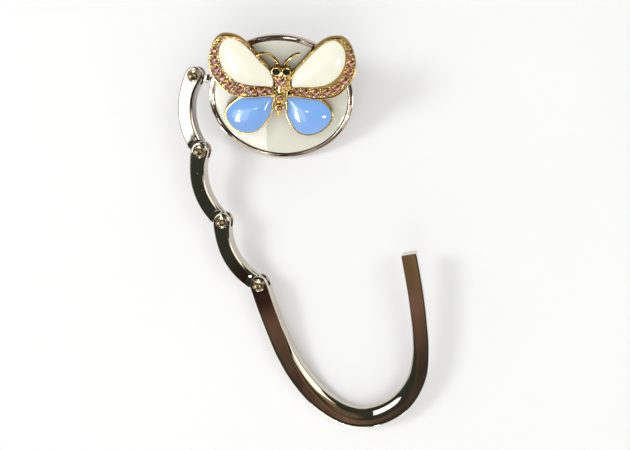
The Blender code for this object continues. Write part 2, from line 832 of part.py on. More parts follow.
def hook_section(half_width, crease_share, low_corner):
    """The hook's section as (across, up): crowned outside, and sloped inside from a crease."""
    top = hook_thickness / 2
    slope = min(1, (1 - crease_share) / crease_span_share)
    lean = slope_angle * slope
    rounding = link_corner + (slope_round - link_corner) * slope
    facet_end = half_width - rounding * (1 - sin(lean))
    crease = min(crease_share * half_width, facet_end - edge_chamfer * 0.2)
    centre = top - (facet_end - crease) * tan(lean) - rounding * cos(lean)
    points = []
    for k in range(4):
        turn = (pi / 2 - lean) * k / 3
        points.append((half_width - rounding * (1 - cos(turn)), centre + rounding * sin(turn)))
    points.append((crease, top))
    crown = crown_angle * max(slope, crown_least_share)
    for k in range(3):
        turn = crown * k / 2
        across = edge_chamfer - half_width + crown_round * (sin(crown) - sin(turn))
        points.append((across, top - crown_round * (1 - cos(turn))))
    points.append((-half_width, points[-1][1] - edge_chamfer))
    corner = min(low_corner, half_width * 0.98, top * 0.98)
    for quarter, side in ((2, -1), (3, 1)):
        for k in range(4):
            turn = (quarter + k / 3) * pi / 2
            points.append((side * (half_width - corner) + corner * cos(turn), corner * (1 + sin(turn)) - top))
    return points


def hook_stations():
    """Stations of (x, y, heading, half width, crease share, lower corner)."""
    path = smooth_path(scaled(hook_path_shares, hook_span), 2)
    runs = [0]
    for a, b in zip(path, path[1:]):
        runs.append(runs[-1] + hypot(b[0] - a[0], b[1] - a[1]))
    turns = headings(path)
    ear = round_end(0, 0, turns[0], ear_radius, link_corner, 6, 1)
    stations = [(x, y, heading, half, 1, corner) for x, y, heading, half, corner in ear]
    for (x, y), run, heading in zip(path, runs, turns):
        share = run / runs[-1]
        half = max(hook_half_width * blend(hook_width_shares, share), ear_radius * (1 - run / link_pitch))
        corner = half * blend(hook_corner_shares, share)
        stations.append((x, y, heading, half, blend(crease_shares, share), corner))
    x, y, heading, half, crease, corner = stations[-1]
    ends = (x + link_corner * cos(heading), y + link_corner * sin(heading))
    return [*stations, (*ends, heading, half - link_corner, crease, corner)]


def hook(frame, look):
    stations = hook_stations()
    sections = [hook_section(*station[3:]) for station in stations]
    made = add("hook", swept([station[:3] for station in stations], sections), frame, look)
    cut(made, *fork_cutters("hook", frame))


def chain(root, looks):
    """The links and the hook, each about its pivot, and the pins that ride in their forks."""
    turn = Euler((0, 0, link_headings[0]))
    pivot = empty("link_1_pivot", root, (0, 0, 0), turn)
    for number in (1, 2, 3):
        link(f"link_{number}", pivot, looks["chrome"])
        pin(f"pin_{number}", pivot, looks["brass"])
        ahead = link_headings[number] if number < 3 else 0
        turn = Euler((0, 0, ahead - link_headings[number - 1]))
        name = f"link_{number + 1}_pivot" if number < 3 else "hook_pivot"
        pivot = empty(name, pivot, (0, -link_pitch, 0), turn)
    hook(pivot, looks["chrome"])
    pin("pin_4", pivot, looks["brass"])


def lowest_and_middle():
    """The middle of the model's outline from above, and its lowest height."""
    bpy.context.view_layer.update()
    graph = bpy.context.evaluated_depsgraph_get()
    corners = []
    for obj in bpy.context.scene.objects:
        if obj.type == "MESH" and not obj.hide_render:
            shape = obj.evaluated_get(graph)
            corners += [shape.matrix_world @ vertex.co for vertex in shape.data.vertices]
    low, high = (Vector(find(v[i] for v in corners) for i in range(3)) for find in (min, max))
    return Vector(((low.x + high.x) / 2, (low.y + high.y) / 2, low.z))


def main():
    clear_scene()
    looks = disc_looks()
    table = empty("table_rest", None, (0, 0, 0), Euler((table_lean_x, table_lean_y, 0)))
    neck = empty("neck_axis", table, (0, 0, 0), Euler((0, neck_sag, neck_azimuth)))
    disc_pivot = empty("disc_pivot", neck, (0, 0, 0), Euler((disc_turn, 0, 0)))
    disc(disc_pivot, looks)
    swivel_block(table, neck, looks["chrome"])
    chain(table, looks)
    table.location = -lowest_and_middle()


main()
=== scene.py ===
"""Looks, light and camera of the folding purse hook with a butterfly on its disc."""

import json
import random
from math import atan2, cos, hypot, pi, radians, sin, sqrt, tan

import bmesh
import bpy
from mathutils import Euler, Matrix, Vector


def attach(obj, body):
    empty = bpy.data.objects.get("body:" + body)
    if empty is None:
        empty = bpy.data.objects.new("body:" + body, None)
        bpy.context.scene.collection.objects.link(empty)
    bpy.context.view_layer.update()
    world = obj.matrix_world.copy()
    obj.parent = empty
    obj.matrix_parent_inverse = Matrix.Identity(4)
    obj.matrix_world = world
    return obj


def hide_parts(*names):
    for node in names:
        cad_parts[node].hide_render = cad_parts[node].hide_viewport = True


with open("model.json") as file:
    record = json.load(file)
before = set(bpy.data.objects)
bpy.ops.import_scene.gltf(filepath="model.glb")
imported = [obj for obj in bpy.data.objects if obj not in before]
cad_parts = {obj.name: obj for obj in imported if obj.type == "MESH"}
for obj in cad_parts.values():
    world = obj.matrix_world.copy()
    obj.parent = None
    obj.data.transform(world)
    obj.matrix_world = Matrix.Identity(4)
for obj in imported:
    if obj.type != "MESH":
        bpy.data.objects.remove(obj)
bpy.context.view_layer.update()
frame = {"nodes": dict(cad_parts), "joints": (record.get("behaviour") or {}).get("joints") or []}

# Sizes of the CAD part, in metres. The bezel is wider here, as in the photo.
GAP = 0.0002
STONE_GAP = 0.00004
OVERRUN = 0.002
DISC_RADIUS = 0.0225
DISC_HALF = 0.0018
BEZEL_WIDTH = 0.00175
ENAMEL_FLOOR = 0.0012
ENAMEL_DOME = 0.0006
FLANGE_REACH = 0.00345
FLANGE_LENGTH = 0.0007
NECK_SHOWING = 0.0005
NECK_DROP = 0.0005
NECK_RADIUS = 0.00065
NECK_WALL = 0.0022
CENTRE_REACH = FLANGE_REACH + FLANGE_LENGTH + NECK_SHOWING + DISC_RADIUS
PITCH = 0.02315
SAGITTA = 0.00365
LINK_HALF = 0.0025
LINK_WIDTH = 0.00235
EAR = 0.00275
TONGUE = 0.0023
TONGUE_HALF = 0.0008
SHOULDER = EAR + 0.0004
PIN_HEAD = 0.0017
HOOK_SPAN = 0.0511
HOOK_WIDTH = 0.0028
REACH = 0.0218
LOWER_TOP = 0.0013
UPPER_BASE = 0.0009
UPPER_TOP = 0.0027
BODY_MIDDLE = 0.0017
COLLET_TOP = 0.0035
BUTTERFLY_BASE = ENAMEL_FLOOR + GAP + ENAMEL_DOME + 0.00145
BAND_STONE = 0.00285
EYE_STONE = 0.0022
THORAX_STONE = 0.0032
ABDOMEN_STONE = 0.0019
PAST_LINK = LINK_HALF + OVERRUN

# The hook's path in shares of its span. The tables after it go by the share of the path's length: the
# half width in shares of HOOK_WIDTH, the lower corners in shares of the half width, the inner rounding
# in millimetres, and the crease in shares of the half width.
HOOK_PATH = (
    (0, 0), (0.034, -0.104), (0.069, -0.203), (0.11, -0.309), (0.154, -0.409), (0.216, -0.525),
    (0.282, -0.618), (0.355, -0.7), (0.438, -0.766), (0.527, -0.814), (0.619, -0.833), (0.72, -0.82),
    (0.821, -0.772), (0.901, -0.704), (0.962, -0.609), (0.996, -0.509), (1.007, -0.399), (1.005, -0.302),
    (0.996, -0.204), (0.984, -0.106), (0.966, 0.012), (0.947, 0.112), (0.924, 0.226),
)
HOOK_WIDTHS = (
    (0, 1), (0.12, 0.975), (0.2, 1.046), (0.3, 1.096), (0.4, 1.1), (0.5, 1.093), (0.6, 1.071),
    (0.68, 0.996), (0.76, 0.889), (0.82, 0.85), (1, 0.85),
)
HOOK_CORNERS = ((0, 0.2), (0.28, 0.25), (0.45, 0.85), (0.7, 0.85), (0.86, 0.35), (1, 0.22))
HOOK_ROUNDS = (
    (0, 0.3), (0.14, 0.3), (0.22, 2), (0.3, 2.35), (0.4, 2.1), (0.5, 1.8), (0.65, 1.7), (0.8, 0.8),
    (0.86, 0.3), (1, 0.3),
)
HOOK_CREASES = (
    (0, 1), (0.12, 1), (0.2, 0.45), (0.3, 0.05), (0.4, -0.2), (0.5, -0.3), (0.58, -0.25), (0.65, -0.05),
    (0.72, 0.25), (0.77, 0.55), (0.82, 0.85), (0.86, 1), (1, 1),
)

# How far a link still swells to its ear, by share of its length
EAR_SHARES = (
    (0, 1), (0.03, 0.97), (0.06, 0.85), (0.1, 0.6), (0.14, 0.35), (0.19, 0.18), (0.24, 0.08), (0.3, 0),
)

# The butterfly's outlines, stones and body, in shares of the wings' reach
UPPER_WING = (
    (0.055, -0.215), (0.12, -0.235), (0.4, -0.29), (0.59, -0.285), (0.77, -0.22), (0.91, -0.055),
    (1, 0.14), (0.995, 0.335), (0.95, 0.5), (0.89, 0.61), (0.81, 0.675), (0.715, 0.685), (0.62, 0.665),
    (0.52, 0.605), (0.38, 0.465), (0.255, 0.3), (0.145, 0.165), (0.045, 0.07),
)
UPPER_CELL = (
    (0.135, -0.09), (0.27, -0.095), (0.455, -0.085), (0.635, -0.03), (0.775, 0.11), (0.845, 0.28),
    (0.85, 0.44), (0.805, 0.565), (0.71, 0.64), (0.62, 0.625), (0.53, 0.565), (0.4, 0.43), (0.285, 0.28),
    (0.18, 0.155), (0.135, 0.05),
)
LOWER_WING = (
    (0.055, -0.25), (0.085, -0.45), (0.09, -0.585), (0.155, -0.74), (0.273, -0.91), (0.427, -0.968),
    (0.6, -0.923), (0.74, -0.773), (0.78, -0.61), (0.736, -0.477), (0.61, -0.35), (0.5, -0.25),
    (0.23, -0.21),
)
LOWER_CELL = (
    (0.105, -0.315), (0.113, -0.45), (0.116, -0.58), (0.178, -0.727), (0.288, -0.888), (0.43, -0.943),
    (0.588, -0.9), (0.717, -0.763), (0.755, -0.612), (0.713, -0.492), (0.6, -0.375), (0.5, -0.325),
    (0.27, -0.305),
)
WINGS = (
    # outline, cell, underside, top and the rounding of its edges
    (LOWER_WING, LOWER_CELL, 0, LOWER_TOP, 0.00028),
    (UPPER_WING, UPPER_CELL, UPPER_BASE, UPPER_TOP, 0.0003),
)
BAND_STONES = (
    (0.912, 0.445, 0.77), (0.928, 0.295, 0.9), (0.91, 0.145, 0.97), (0.845, 0.01, 1), (0.74, -0.105, 1),
    (0.605, -0.175, 1), (0.455, -0.19, 0.97), (0.31, -0.18, 0.87), (0.192, -0.165, 0.73),
)
TIP_GRAINS = (
    (0.905, 0.53), (0.86, 0.53), (0.88, 0.575), (0.835, 0.575), (0.84, 0.62), (0.8, 0.612),
    (0.79, 0.65),
)
BODY_RINGS = (
    (0.225, 0.02), (0.2, 0.06), (0.15, 0.1), (0.06, 0.11), (-0.06, 0.11), (-0.16, 0.085), (-0.24, 0.075),
    (-0.33, 0.078), (-0.44, 0.068), (-0.53, 0.045), (-0.62, 0.012),
)
ANTENNA_LEFT = (
    (-0.03, 0.18), (-0.06, 0.28), (-0.13, 0.385), (-0.215, 0.43), (-0.3, 0.42), (-0.335, 0.37),
    (-0.31, 0.325), (-0.265, 0.33),
)
ANTENNA_RIGHT = ((0.03, 0.18), (0.055, 0.28), (0.12, 0.37), (0.19, 0.425), (0.255, 0.445))
SLANT = 0.08
WING_SHIFT = 0.0003
SIDES = (("left", -1), ("right", 1))


def tilted(x, y, z=0):
    """A turn about X, Y and Z, in degrees."""
    return Euler((radians(x), radians(y), radians(z))).to_matrix().to_4x4()


# Places of the moving parts at rest
pivot_spot = next(j["pos_m"] for j in frame["joints"] if j["name"] == "fold_1")
NECK_HEADING = -14.3
TABLE = Matrix.Translation(pivot_spot) @ tilted(12.94, -6.6)
NECK = TABLE @ tilted(0, 16, NECK_HEADING)
DISC = NECK @ Matrix.Rotation(radians(27.6), 4, "X") @ Matrix.Translation((CENTRE_REACH, 0, NECK_DROP))
BUTTERFLY = (
    DISC
    @ Matrix.Translation((-0.085 * DISC_RADIUS, 0.425 * DISC_RADIUS, BUTTERFLY_BASE))
    @ Matrix.Rotation(radians(14.2), 4, "Z")
)
TURNS = (radians(3), radians(16.7), radians(30.2), 0)
CHAIN = [TABLE @ Matrix.Rotation(TURNS[0], 4, "Z")]
for before, after in zip(TURNS, TURNS[1:]):
    step = Matrix.Translation((0, -PITCH, 0)) @ Matrix.Rotation(after - before, 4, "Z")
    CHAIN.append(CHAIN[-1] @ step)


# Mesh helpers
def walls(made, rings, closed=False):
    """Faces from each ring of vertices to the next, and from the last to the first if closed."""
    for low, high in zip(rings, rings[1:] + rings[:1] if closed else rings[1:]):
        for i in range(len(low)):
            j = (i + 1) % len(low)
            made.faces.new((low[i], low[j], high[j], high[i]))


def rings_solid(rings, made=None, closed=False):
    """A solid through rings of points with the same count, with a cap on each end unless closed."""
    made = made or bmesh.new()
    loops = [[made.verts.new(point) for point in ring] for ring in rings]
    walls(made, loops, closed)
    if not closed:
        made.faces.new(loops[0][::-1])
        made.faces.new(loops[-1])
    return made


def round_turns(count, shift=0):
    """Angles at even steps round a full turn."""
    return [2 * pi * (i + shift) / count for i in range(count)]


def circle(radius, count, height, centre=(0, 0)):
    return [(centre[0] + radius * cos(t), centre[1] + radius * sin(t), height) for t in round_turns(count)]


def turned(profile, count, centre=(0, 0), made=None, closed=False):
    """A solid turned about Z from (radius, height) points."""
    return rings_solid([circle(radius, count, height, centre) for radius, height in profile], made, closed)


def turned_on_axis(profile, count):
    """A turned solid whose first and last points lie on the axis."""
    made = bmesh.new()
    rings = [[made.verts.new(point) for point in circle(r, count, z)] for r, z in profile[1:-1]]
    walls(made, rings)
    for ring, height in ((rings[0][::-1], profile[0][1]), (rings[-1], profile[-1][1])):
        middle = made.verts.new((0, 0, height))
        for i in range(count):
            made.faces.new((ring[i], ring[(i + 1) % count], middle))
    return made


def arc(centre, radius, start, end, steps):
    """Points of (radius, height) along a part of a circle, with angles in degrees."""
    angles = [radians(start + (end - start) * k / steps) for k in range(steps + 1)]
    return [(centre[0] + radius * cos(t), centre[1] + radius * sin(t)) for t in angles]


def catmull(a, b, c, d, t):
    return tuple(
        0.5 * (2 * q + (r - p) * t + (2 * p - 5 * q + 4 * r - s) * t * t + (3 * q - p - 3 * r + s) * t**3)
        for p, q, r, s in zip(a, b, c, d)
    )


def smooth_loop(points, steps):
    count = len(points)
    return [
        catmull(*(points[(i + k - 1) % count] for k in range(4)), step / steps)
        for i in range(count)
        for step in range(steps)
    ]


def smooth_path(points, steps):
    ends = [points[0], *points, points[-1]]
    spans = range(len(points) - 1)
    walked = [catmull(*ends[i : i + 4], step / steps) for i in spans for step in range(steps)]
    return walked + [points[-1]]


def scaled(shares, size, side=1, slant=0):
    return [((side * x + slant * y) * size, y * size) for x, y in shares]


def inset(points, distance):
    """The outline moved inward, for points that run anticlockwise."""
    count = len(points)
    moved = []
    for i, (x, y) in enumerate(points):
        before, after = points[i - 1], points[(i + 1) % count]
        along = Vector((after[0] - before[0], after[1] - before[1])).normalized()
        moved.append((x - along.y * distance, y + along.x * distance))
    return moved


def anticlockwise(points):
    area = sum(a[0] * b[1] - b[0] * a[1] for a, b in zip(points, points[1:] + points[:1]))
    return points if area > 0 else points[::-1]


def blend(table, share):
    """The table's value at a share, eased between its rows."""
    for (a, low), (b, high) in zip(table, table[1:]):
        if share <= b:
            t = (share - a) / (b - a)
            return low + (high - low) * t * t * (3 - 2 * t)
    return table[-1][1]


def bar_section(half_width, half_height, inner, outer, steps):
    """Points of a rectangle as (across, up), with its own corner radius on each side."""
    points = []
    corners = ((inner, 1, 1), (outer, -1, 1), (outer, -1, -1), (inner, 1, -1))
    for quarter, (corner, right, top) in enumerate(corners):
        corner = min(corner, half_width * 0.98, half_height * 0.98)
        centre = (right * (half_width - corner), top * (half_height - corner))
        points += arc(centre, corner, 90 * quarter, 90 * quarter + 90, steps)
    return points


def swept(places, sections):
    """A solid along places of (x, y, heading), with a section of (across, up) points at each."""
    rings = []
    for (x, y, heading), section in zip(places, sections):
        side_x, side_y = -sin(heading), cos(heading)
        rings.append([(x + side_x * across, y + side_y * across, up) for across, up in section])
    return rings_solid(rings)


def bar(stations, half_height, steps):
    """A bar along stations of (x, y, heading, half width, inner corner, outer corner)."""
    sections = [bar_section(width, half_height, *corners, steps) for _, _, _, width, *corners in stations]
    return swept([station[:3] for station in stations], sections)


def headings(path):
    found = []
    for i in range(len(path)):
        before, after = path[max(i - 1, 0)], path[min(i + 1, len(path) - 1)]
        found.append(atan2(after[1] - before[1], after[0] - before[0]))
    return found


def round_end(x, y, heading, radius, corners, steps, start):
    """Stations of a half-round end, before a path if start is 1 and after it if start is -1."""
    stations = []
    for k in range(steps):
        turn = (k + 0.5) / (steps + 0.5) * pi / 2
        back = -start * radius * cos(turn)
        spot = (x + back * cos(heading), y + back * sin(heading))
        stations.append((*spot, heading, radius * sin(turn), *corners))
    return stations if start > 0 else stations[::-1]


def placed(name, data, place):
    """A new object in the scene."""
    obj = bpy.data.objects.new(name, data)
    bpy.context.scene.collection.objects.link(obj)
    obj.matrix_world = place
    return obj


def thing(name, made, place=Matrix()):
    """An object from a bmesh, which it frees, at a place in the row frame."""
    bmesh.ops.recalc_face_normals(made, faces=made.faces)
    mesh = bpy.data.meshes.new(name)
    made.to_mesh(mesh)
    made.free()
    return placed(name, mesh, place)


def prism(name, outline, low, high, place):
    """An upright solid over an outline."""
    return thing(name, rings_solid([[(x, y, z) for x, y in outline] for z in (low, high)]), place)


def block(low, high, place):
    (x0, y0, z0), (x1, y1, z1) = low, high
    return prism("helper_block", ((x0, y0), (x1, y0), (x1, y1), (x0, y1)), z0, z1, place)


def drum(radius, low, high, count, place, spot=(0, 0)):
    return thing("helper_drum", turned(((radius, low), (radius, high)), count, spot), place)


def joined(obj, operation, others):
    """The object's mesh after one exact Boolean with the helpers, which are removed."""
    group = bpy.data.collections.new(f"{obj.name}_helpers")
    for other in others:
        group.objects.link(other)
    step = obj.modifiers.new("cut", "BOOLEAN")
    step.operation = operation
    step.solver = "EXACT"
    step.operand_type = "COLLECTION"
    step.collection = group
    bpy.context.view_layer.update()
    graph = bpy.context.evaluated_depsgraph_get()
    result = bpy.data.meshes.new_from_object(obj.evaluated_get(graph))
    obj.modifiers.clear()
    obj.data = result
    for other in others:
        bpy.data.objects.remove(other)
    bpy.data.collections.remove(group)
    return obj


def cut(obj, *others):
    return joined(obj, "DIFFERENCE", others)


def fuse(obj, *others):
    return joined(obj, "UNION", others)


def finished(obj, body, nodes, look, angle, edge=0.0):
    """The piece's shading, material, body and the CAD nodes that it stands for."""
    mesh = obj.data
    mesh.materials.clear()
    mesh.materials.append(look)
    mesh.shade_smooth()
    mesh.set_sharp_from_angle(angle=radians(angle))
    if edge:
        rounding = obj.modifiers.new("edges", "BEVEL")
        rounding.width = edge
        rounding.segments = 2
        rounding.limit_method = "ANGLE"
        rounding.angle_limit = radians(40)
    weighted = obj.modifiers.new("normals", "WEIGHTED_NORMAL")
    weighted.keep_sharp = True
    weighted.weight = 80
    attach(obj, body)
    if nodes:
        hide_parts(*nodes)


# Materials
def put(socket, value):
    """A socket takes the output of another node, or a plain value."""
    if isinstance(value, bpy.types.NodeSocket):
        socket.id_data.links.new(value, socket)
    else:
        socket.default_value = value


def feed(made, **sockets):
    for name, value in sockets.items():
        put(made.inputs[name.replace("_", " ")], value)


def node(tree, kind, output, **sockets):
    """The named output of a new node."""
    made = tree.nodes.new(f"ShaderNode{kind}")
    feed(made, **sockets)
    return made.outputs[output]


def math_node(tree, kind, operation, *values):
    """One step of arithmetic on outputs or plain values."""
    made = tree.nodes.new(f"ShaderNode{kind}")
    made.operation = operation
    for socket, value in zip((0, "Scale" if operation == "SCALE" else 1), values):
        put(made.inputs[socket], value)
    return made.outputs["Value" if operation in ("DISTANCE", "MAXIMUM") else "Vector"]


def shader_of(name, colour, roughness, metallic=0.0, **sockets):
    made = bpy.data.materials.new(name)
    made.use_nodes = True
    shader = made.node_tree.nodes["Principled BSDF"]
    feed(shader, Base_Color=(*colour, 1), Roughness=roughness, Metallic=metallic, **sockets)
    return made, made.node_tree, shader


def noise(tree, scale, detail, stretch=None):
    """A noise texture in the piece's own coordinates, with its scale per metre."""
    place = node(tree, "TexCoord", "Object")
    if stretch:
        place = node(tree, "Mapping", "Vector", Vector=place, Scale=stretch)
    return node(tree, "TexNoise", "Fac", Vector=place, Scale=scale, Detail=detail)


def cells(tree, scale, output):
    """A pattern of cells: their colours, or the distance from their middles."""
    return node(tree, "TexVoronoi", output, Vector=node(tree, "TexCoord", "Object"), Scale=scale)


def ramp(tree, factor, stops):
    """A colour ramp through (place, colour) stops."""
    made = tree.nodes.new("ShaderNodeValToRGB")
    points = made.color_ramp.elements
    while len(points) < len(stops):
        points.new(0.5)
    for point, (place, colour) in zip(points, stops):
        point.position = place
        point.color = (*colour, 1)
    feed(made, Fac=factor)
    return made.outputs["Color"]


def spread(tree, factor, low, high, start=0.3, end=0.7):
    """The factor's range from start to end, stretched to run from low to high."""
    ends = dict(From_Min=start, From_Max=end, To_Min=low, To_Max=high)
    return node(tree, "MapRange", "Result", Value=factor, **ends)


def bump(tree, shader, *layers):
    """Bumps laid one over another, as (height socket, distance in metres, strength)."""
    below = {}
    for height, distance, strength in layers:
        normal = node(tree, "Bump", "Normal", Height=height, Distance=distance, Strength=strength, **below)
        below = {"Normal": normal}
    feed(shader, **below)


def mixed(tree, share, first, second):
    made = tree.nodes.new("ShaderNodeMix")
    made.data_type = "RGBA"
    feed(made, Factor=share, A=first, B=second)
    return made.outputs["Result"]


def leant(tree, way):
    """The surface's normal, pushed one way."""
    pushed = math_node(tree, "VectorMath", "ADD", node(tree, "NewGeometry", "Normal"), way)
    return math_node(tree, "VectorMath", "NORMALIZE", pushed)


def pits(tree, scale, size):
    """Small scattered dots, 1 on the surface and 0 inside a dot."""
    return spread(tree, cells(tree, scale, "Distance"), 0, 1, 0, size)


def chrome_look(name, colour, wave):
    """Plated metal: a slightly wavy casting under the polish, with hairline scratches and a few pits."""
    made, tree, shader = shader_of(name, colour, 0.07, 1.0)
    tint = ramp(tree, noise(tree, 160, 3), ((0.3, [c * 0.93 for c in colour]), (0.7, colour)))
    wear = spread(tree, noise(tree, 900, 4, (1, 0.16, 1)), 0.02, 0.05)
    feed(shader, Base_Color=tint, Roughness=wear)
    waves = (noise(tree, 210, 1.5), 0.00006, wave)
    scratches = (noise(tree, 2600, 2, (1, 0.06, 1)), 0.000002, 0.2)
    bump(tree, shader, waves, scratches, (pits(tree, 420, 0.07), 0.00002, 0.3))
    return made


def gold_look(name, colour, grain, polish=(0.07, 0.18), painted_side_shade=False):
    """Cast and plated gold, which may have painted shade on its upright sides: a dark brown mixed in as
    the surface turns from facing up.
    """
    made, tree, shader = shader_of(name, colour, 0.16, 1.0)
    deep = (colour[0] * 0.66, colour[1] * 0.55, colour[2] * 0.4)
    pale = [min(1, c * 1.12) for c in colour]
    tint = ramp(tree, noise(tree, 700, 4), ((0.28, deep), (0.48, colour), (0.8, pale)))
    # Painted shade: the more upright the surface, the more dark brown is mixed into the gold's colour.
    if painted_side_shade:
        up = node(tree, "SeparateXYZ", "Z", Vector=node(tree, "TexCoord", "Normal"))
        tint = mixed(tree, spread(tree, up, 1, 0, 0.25, 0.9), tint, (0.3, 0.16, 0.035, 1))
    feed(shader, Base_Color=tint, Roughness=spread(tree, noise(tree, 1500, 3), *polish))
    bump(tree, shader, (noise(tree, 1300, 3), 0.00005, grain), (noise(tree, 5200, 2), 0.000008, grain))
    return made


def enamel_look(name, light, dark, skin, rise=0.0):
    """Poured enamel: faint clouds under a glossy skin of its own IOR, which may swell to one side."""
    gloss = dict(Coat_Weight=1.0, Coat_Roughness=0.02, Coat_IOR=skin, Specular_IOR_Level=0.1)
    made, tree, shader = shader_of(name, light, 0.2, **gloss)
    feed(shader, Base_Color=ramp(tree, noise(tree, 130, 4), ((0.3, dark), (0.7, light))))
    bump(tree, shader, (noise(tree, 260, 2), 0.00002, 0.12), (pits(tree, 900, 0.05), 0.00001, 0.15))
    if rise:
        feed(shader, Coat_Normal=leant(tree, (0, rise, rise)))
    return made


def stone_look(name, colours, metallic, roughness, leaning, scale=1500, **sockets):
    """Foil-backed cut glass: colour and slope break up inside each stone as its back facets do. The cells'
    colours paint the light off those facets: the palest are painted glints, the darkest painted shade.
    """
    gloss = dict(Coat_Weight=1.0, Coat_Roughness=0.02, **sockets)
    made, tree, shader = shader_of(name, colours[1], roughness, metallic, **gloss)
    facets = cells(tree, scale, "Color")
    share = node(tree, "SeparateColor", "Red", Color=facets)
    tint = ramp(tree, share, [(k / len(colours), colour) for k, colour in enumerate(colours)])
    tint.node.color_ramp.interpolation = "CONSTANT"
    slope = math_node(tree, "VectorMath", "SUBTRACT", facets, (0.5, 0.5, 0.5))
    slope = math_node(tree, "VectorMath", "SCALE", slope, leaning)
    feed(shader, Base_Color=tint, Normal=leant(tree, slope))
    return made


def rubber_look():
    made, tree, shader = shader_of("black_rubber_pad", (0.028, 0.028, 0.027), 0.8)
    tint = ramp(tree, noise(tree, 300, 5), ((0.3, (0.02, 0.02, 0.02)), (0.7, (0.042, 0.041, 0.039))))
    feed(shader, Base_Color=tint, Roughness=spread(tree, noise(tree, 1200, 4), 0.68, 0.9))
    bump(tree, shader, (noise(tree, 3800, 3), 0.00003, 0.5), (noise(tree, 500, 2), 0.00004, 0.2))
    return made


# The rose stones' colours: the rose tones of the glass, with painted glints in the palest and painted
# shade in the darkest.
ROSE_GLASS_PAINTED_GLINTS = (
    (0.12, 0.03, 0.01), (0.6, 0.23, 0.14), (0.24, 0.06, 0.02), (0.92, 0.52, 0.36), (0.42, 0.14, 0.08),
    (1.0, 0.9, 0.78),
)
BLACK_GLASS = ((0.004, 0.004, 0.004), (0.02, 0.018, 0.016), (0.008, 0.007, 0.006))
# The band floor's grained gold: its dark browns are painted shade in the recess between the stones, and
# its pale gold is painted glints.
GRAINED_GOLD_PAINTED_GLINTS_AND_SHADE = (
    (0.14, 0.05, 0.012), (0.52, 0.25, 0.05), (0.2, 0.08, 0.02), (1.0, 0.78, 0.34), (0.34, 0.14, 0.03),
)
chrome = chrome_look("chrome_plate", (0.68, 0.62, 0.53), 0.045)
rim_chrome = chrome_look("rim_chrome_plate", (0.68, 0.58, 0.49), 0.02)
# The butterfly's gold, with painted shade on its upright sides.
gold = gold_look("gold_plate_cast_painted_side_shade", (0.94, 0.68, 0.24), 0.2, painted_side_shade=True)
bead_gold = gold_look("gold_plate_beads", (0.98, 0.76, 0.3), 0.1)
brass = gold_look("brass_pin_polished", (0.9, 0.76, 0.48), 0.03, (0.2, 0.28))
cream = enamel_look("cream_enamel_face", (0.9, 0.89, 0.76), (0.87, 0.865, 0.72), 1.85, 0.065)
wing_cream = enamel_look("cream_enamel_wing", (1.0, 0.98, 0.82), (0.99, 0.96, 0.77), 1.32)
blue = enamel_look("blue_enamel_wing", (0.255, 0.49, 0.97), (0.235, 0.465, 0.94), 1.46)
# Rose stones whose colour cells hold painted glints and painted shade.
rose = stone_look("rose_glass_painted_glints", ROSE_GLASS_PAINTED_GLINTS, 0.45, 0.06, 0.9)
black = stone_look("black_glass_cut", BLACK_GLASS, 0.0, 0.04, 0.1, Coat_IOR=1.2, Specular_IOR_Level=0.1)
# The band floor between the stones, with painted shade and painted glints in its cells.
band_gold_painted_light = stone_look("gold_grained_painted_light", GRAINED_GOLD_PAINTED_GLINTS_AND_SHADE, 0.85, 0.2, 0.8, 2300)
rubber = rubber_look()


# Disc
def disc_case():
    """The case: a spun back, and a bezel with two fine grooves and a slope down to the enamel."""
    inner = DISC_RADIUS - BEZEL_WIDTH
    taper = ((20.9, -1.8), (21.38, -1.45), (21.78, -0.95), (22.18, -0.1), (22.42, 0.75), (22.5, 1.1))
    profile = [(0, -0.0013), (0.0204, -0.0013), (0.0205, -0.0014), (0.0205, -0.00172), (0.02058, -0.0018)]
    profile += [(r / 1000, z / 1000) for r, z in smooth_path(taper, 4)]
    edge, groove = 0.0004, 0.00012
    profile += arc((DISC_RADIUS - edge, DISC_HALF - edge), edge, 0, 80, 6)
    for away in (0.00068, 0.00112):
        for k, deep in ((1, 0), (0, groove), (-1, 0)):
            profile.append((DISC_RADIUS - away + groove * k, DISC_HALF - deep))
    for k in range(6):
        profile.append((inner + 0.00046 - 0.000085 * k, DISC_HALF - 0.00002 * k * (1 + 0.16 * k)))
    profile += [(inner, ENAMEL_FLOOR), (0, ENAMEL_FLOOR)]
    case = thing("disc_case_turned", turned_on_axis(profile, 180), DISC)
    slot_half, pocket_half = NECK_RADIUS + GAP, 0.00115
    pocket_out = -(DISC_RADIUS - NECK_WALL)
    below = -DISC_HALF - OVERRUN
    slot_end = (pocket_out + 0.0002, slot_half, slot_half - NECK_DROP)
    slot = block((-DISC_RADIUS - OVERRUN, -slot_half, below), slot_end, DISC)
    pocket_end = (pocket_out + 0.0014, pocket_half, pocket_half - NECK_DROP)
    cut(case, slot, block((pocket_out, -pocket_half, below), pocket_end, DISC))
    finished(case, "disc", ["disc_case"], rim_chrome, 28)


def enamel_face():
    radius = DISC_RADIUS - BEZEL_WIDTH - 0.00003
    low = ENAMEL_FLOOR + 0.00005
    rim = DISC_HALF - 0.00018
    top = ENAMEL_FLOOR + GAP + ENAMEL_DOME
    profile = [(0, low), (radius, low), (radius, rim - 0.00008), (radius - 0.0001, rim)]
    for s in (0.97, 0.92, 0.85, 0.75, 0.62, 0.45, 0.25):
        profile.append((radius * s, rim + (top - rim) * (1 - s * s)))
    face = thing("enamel_face_poured", turned_on_axis([*profile, (0, top)], 180), DISC)
    finished(face, "disc", ["enamel_face"], cream, 40)


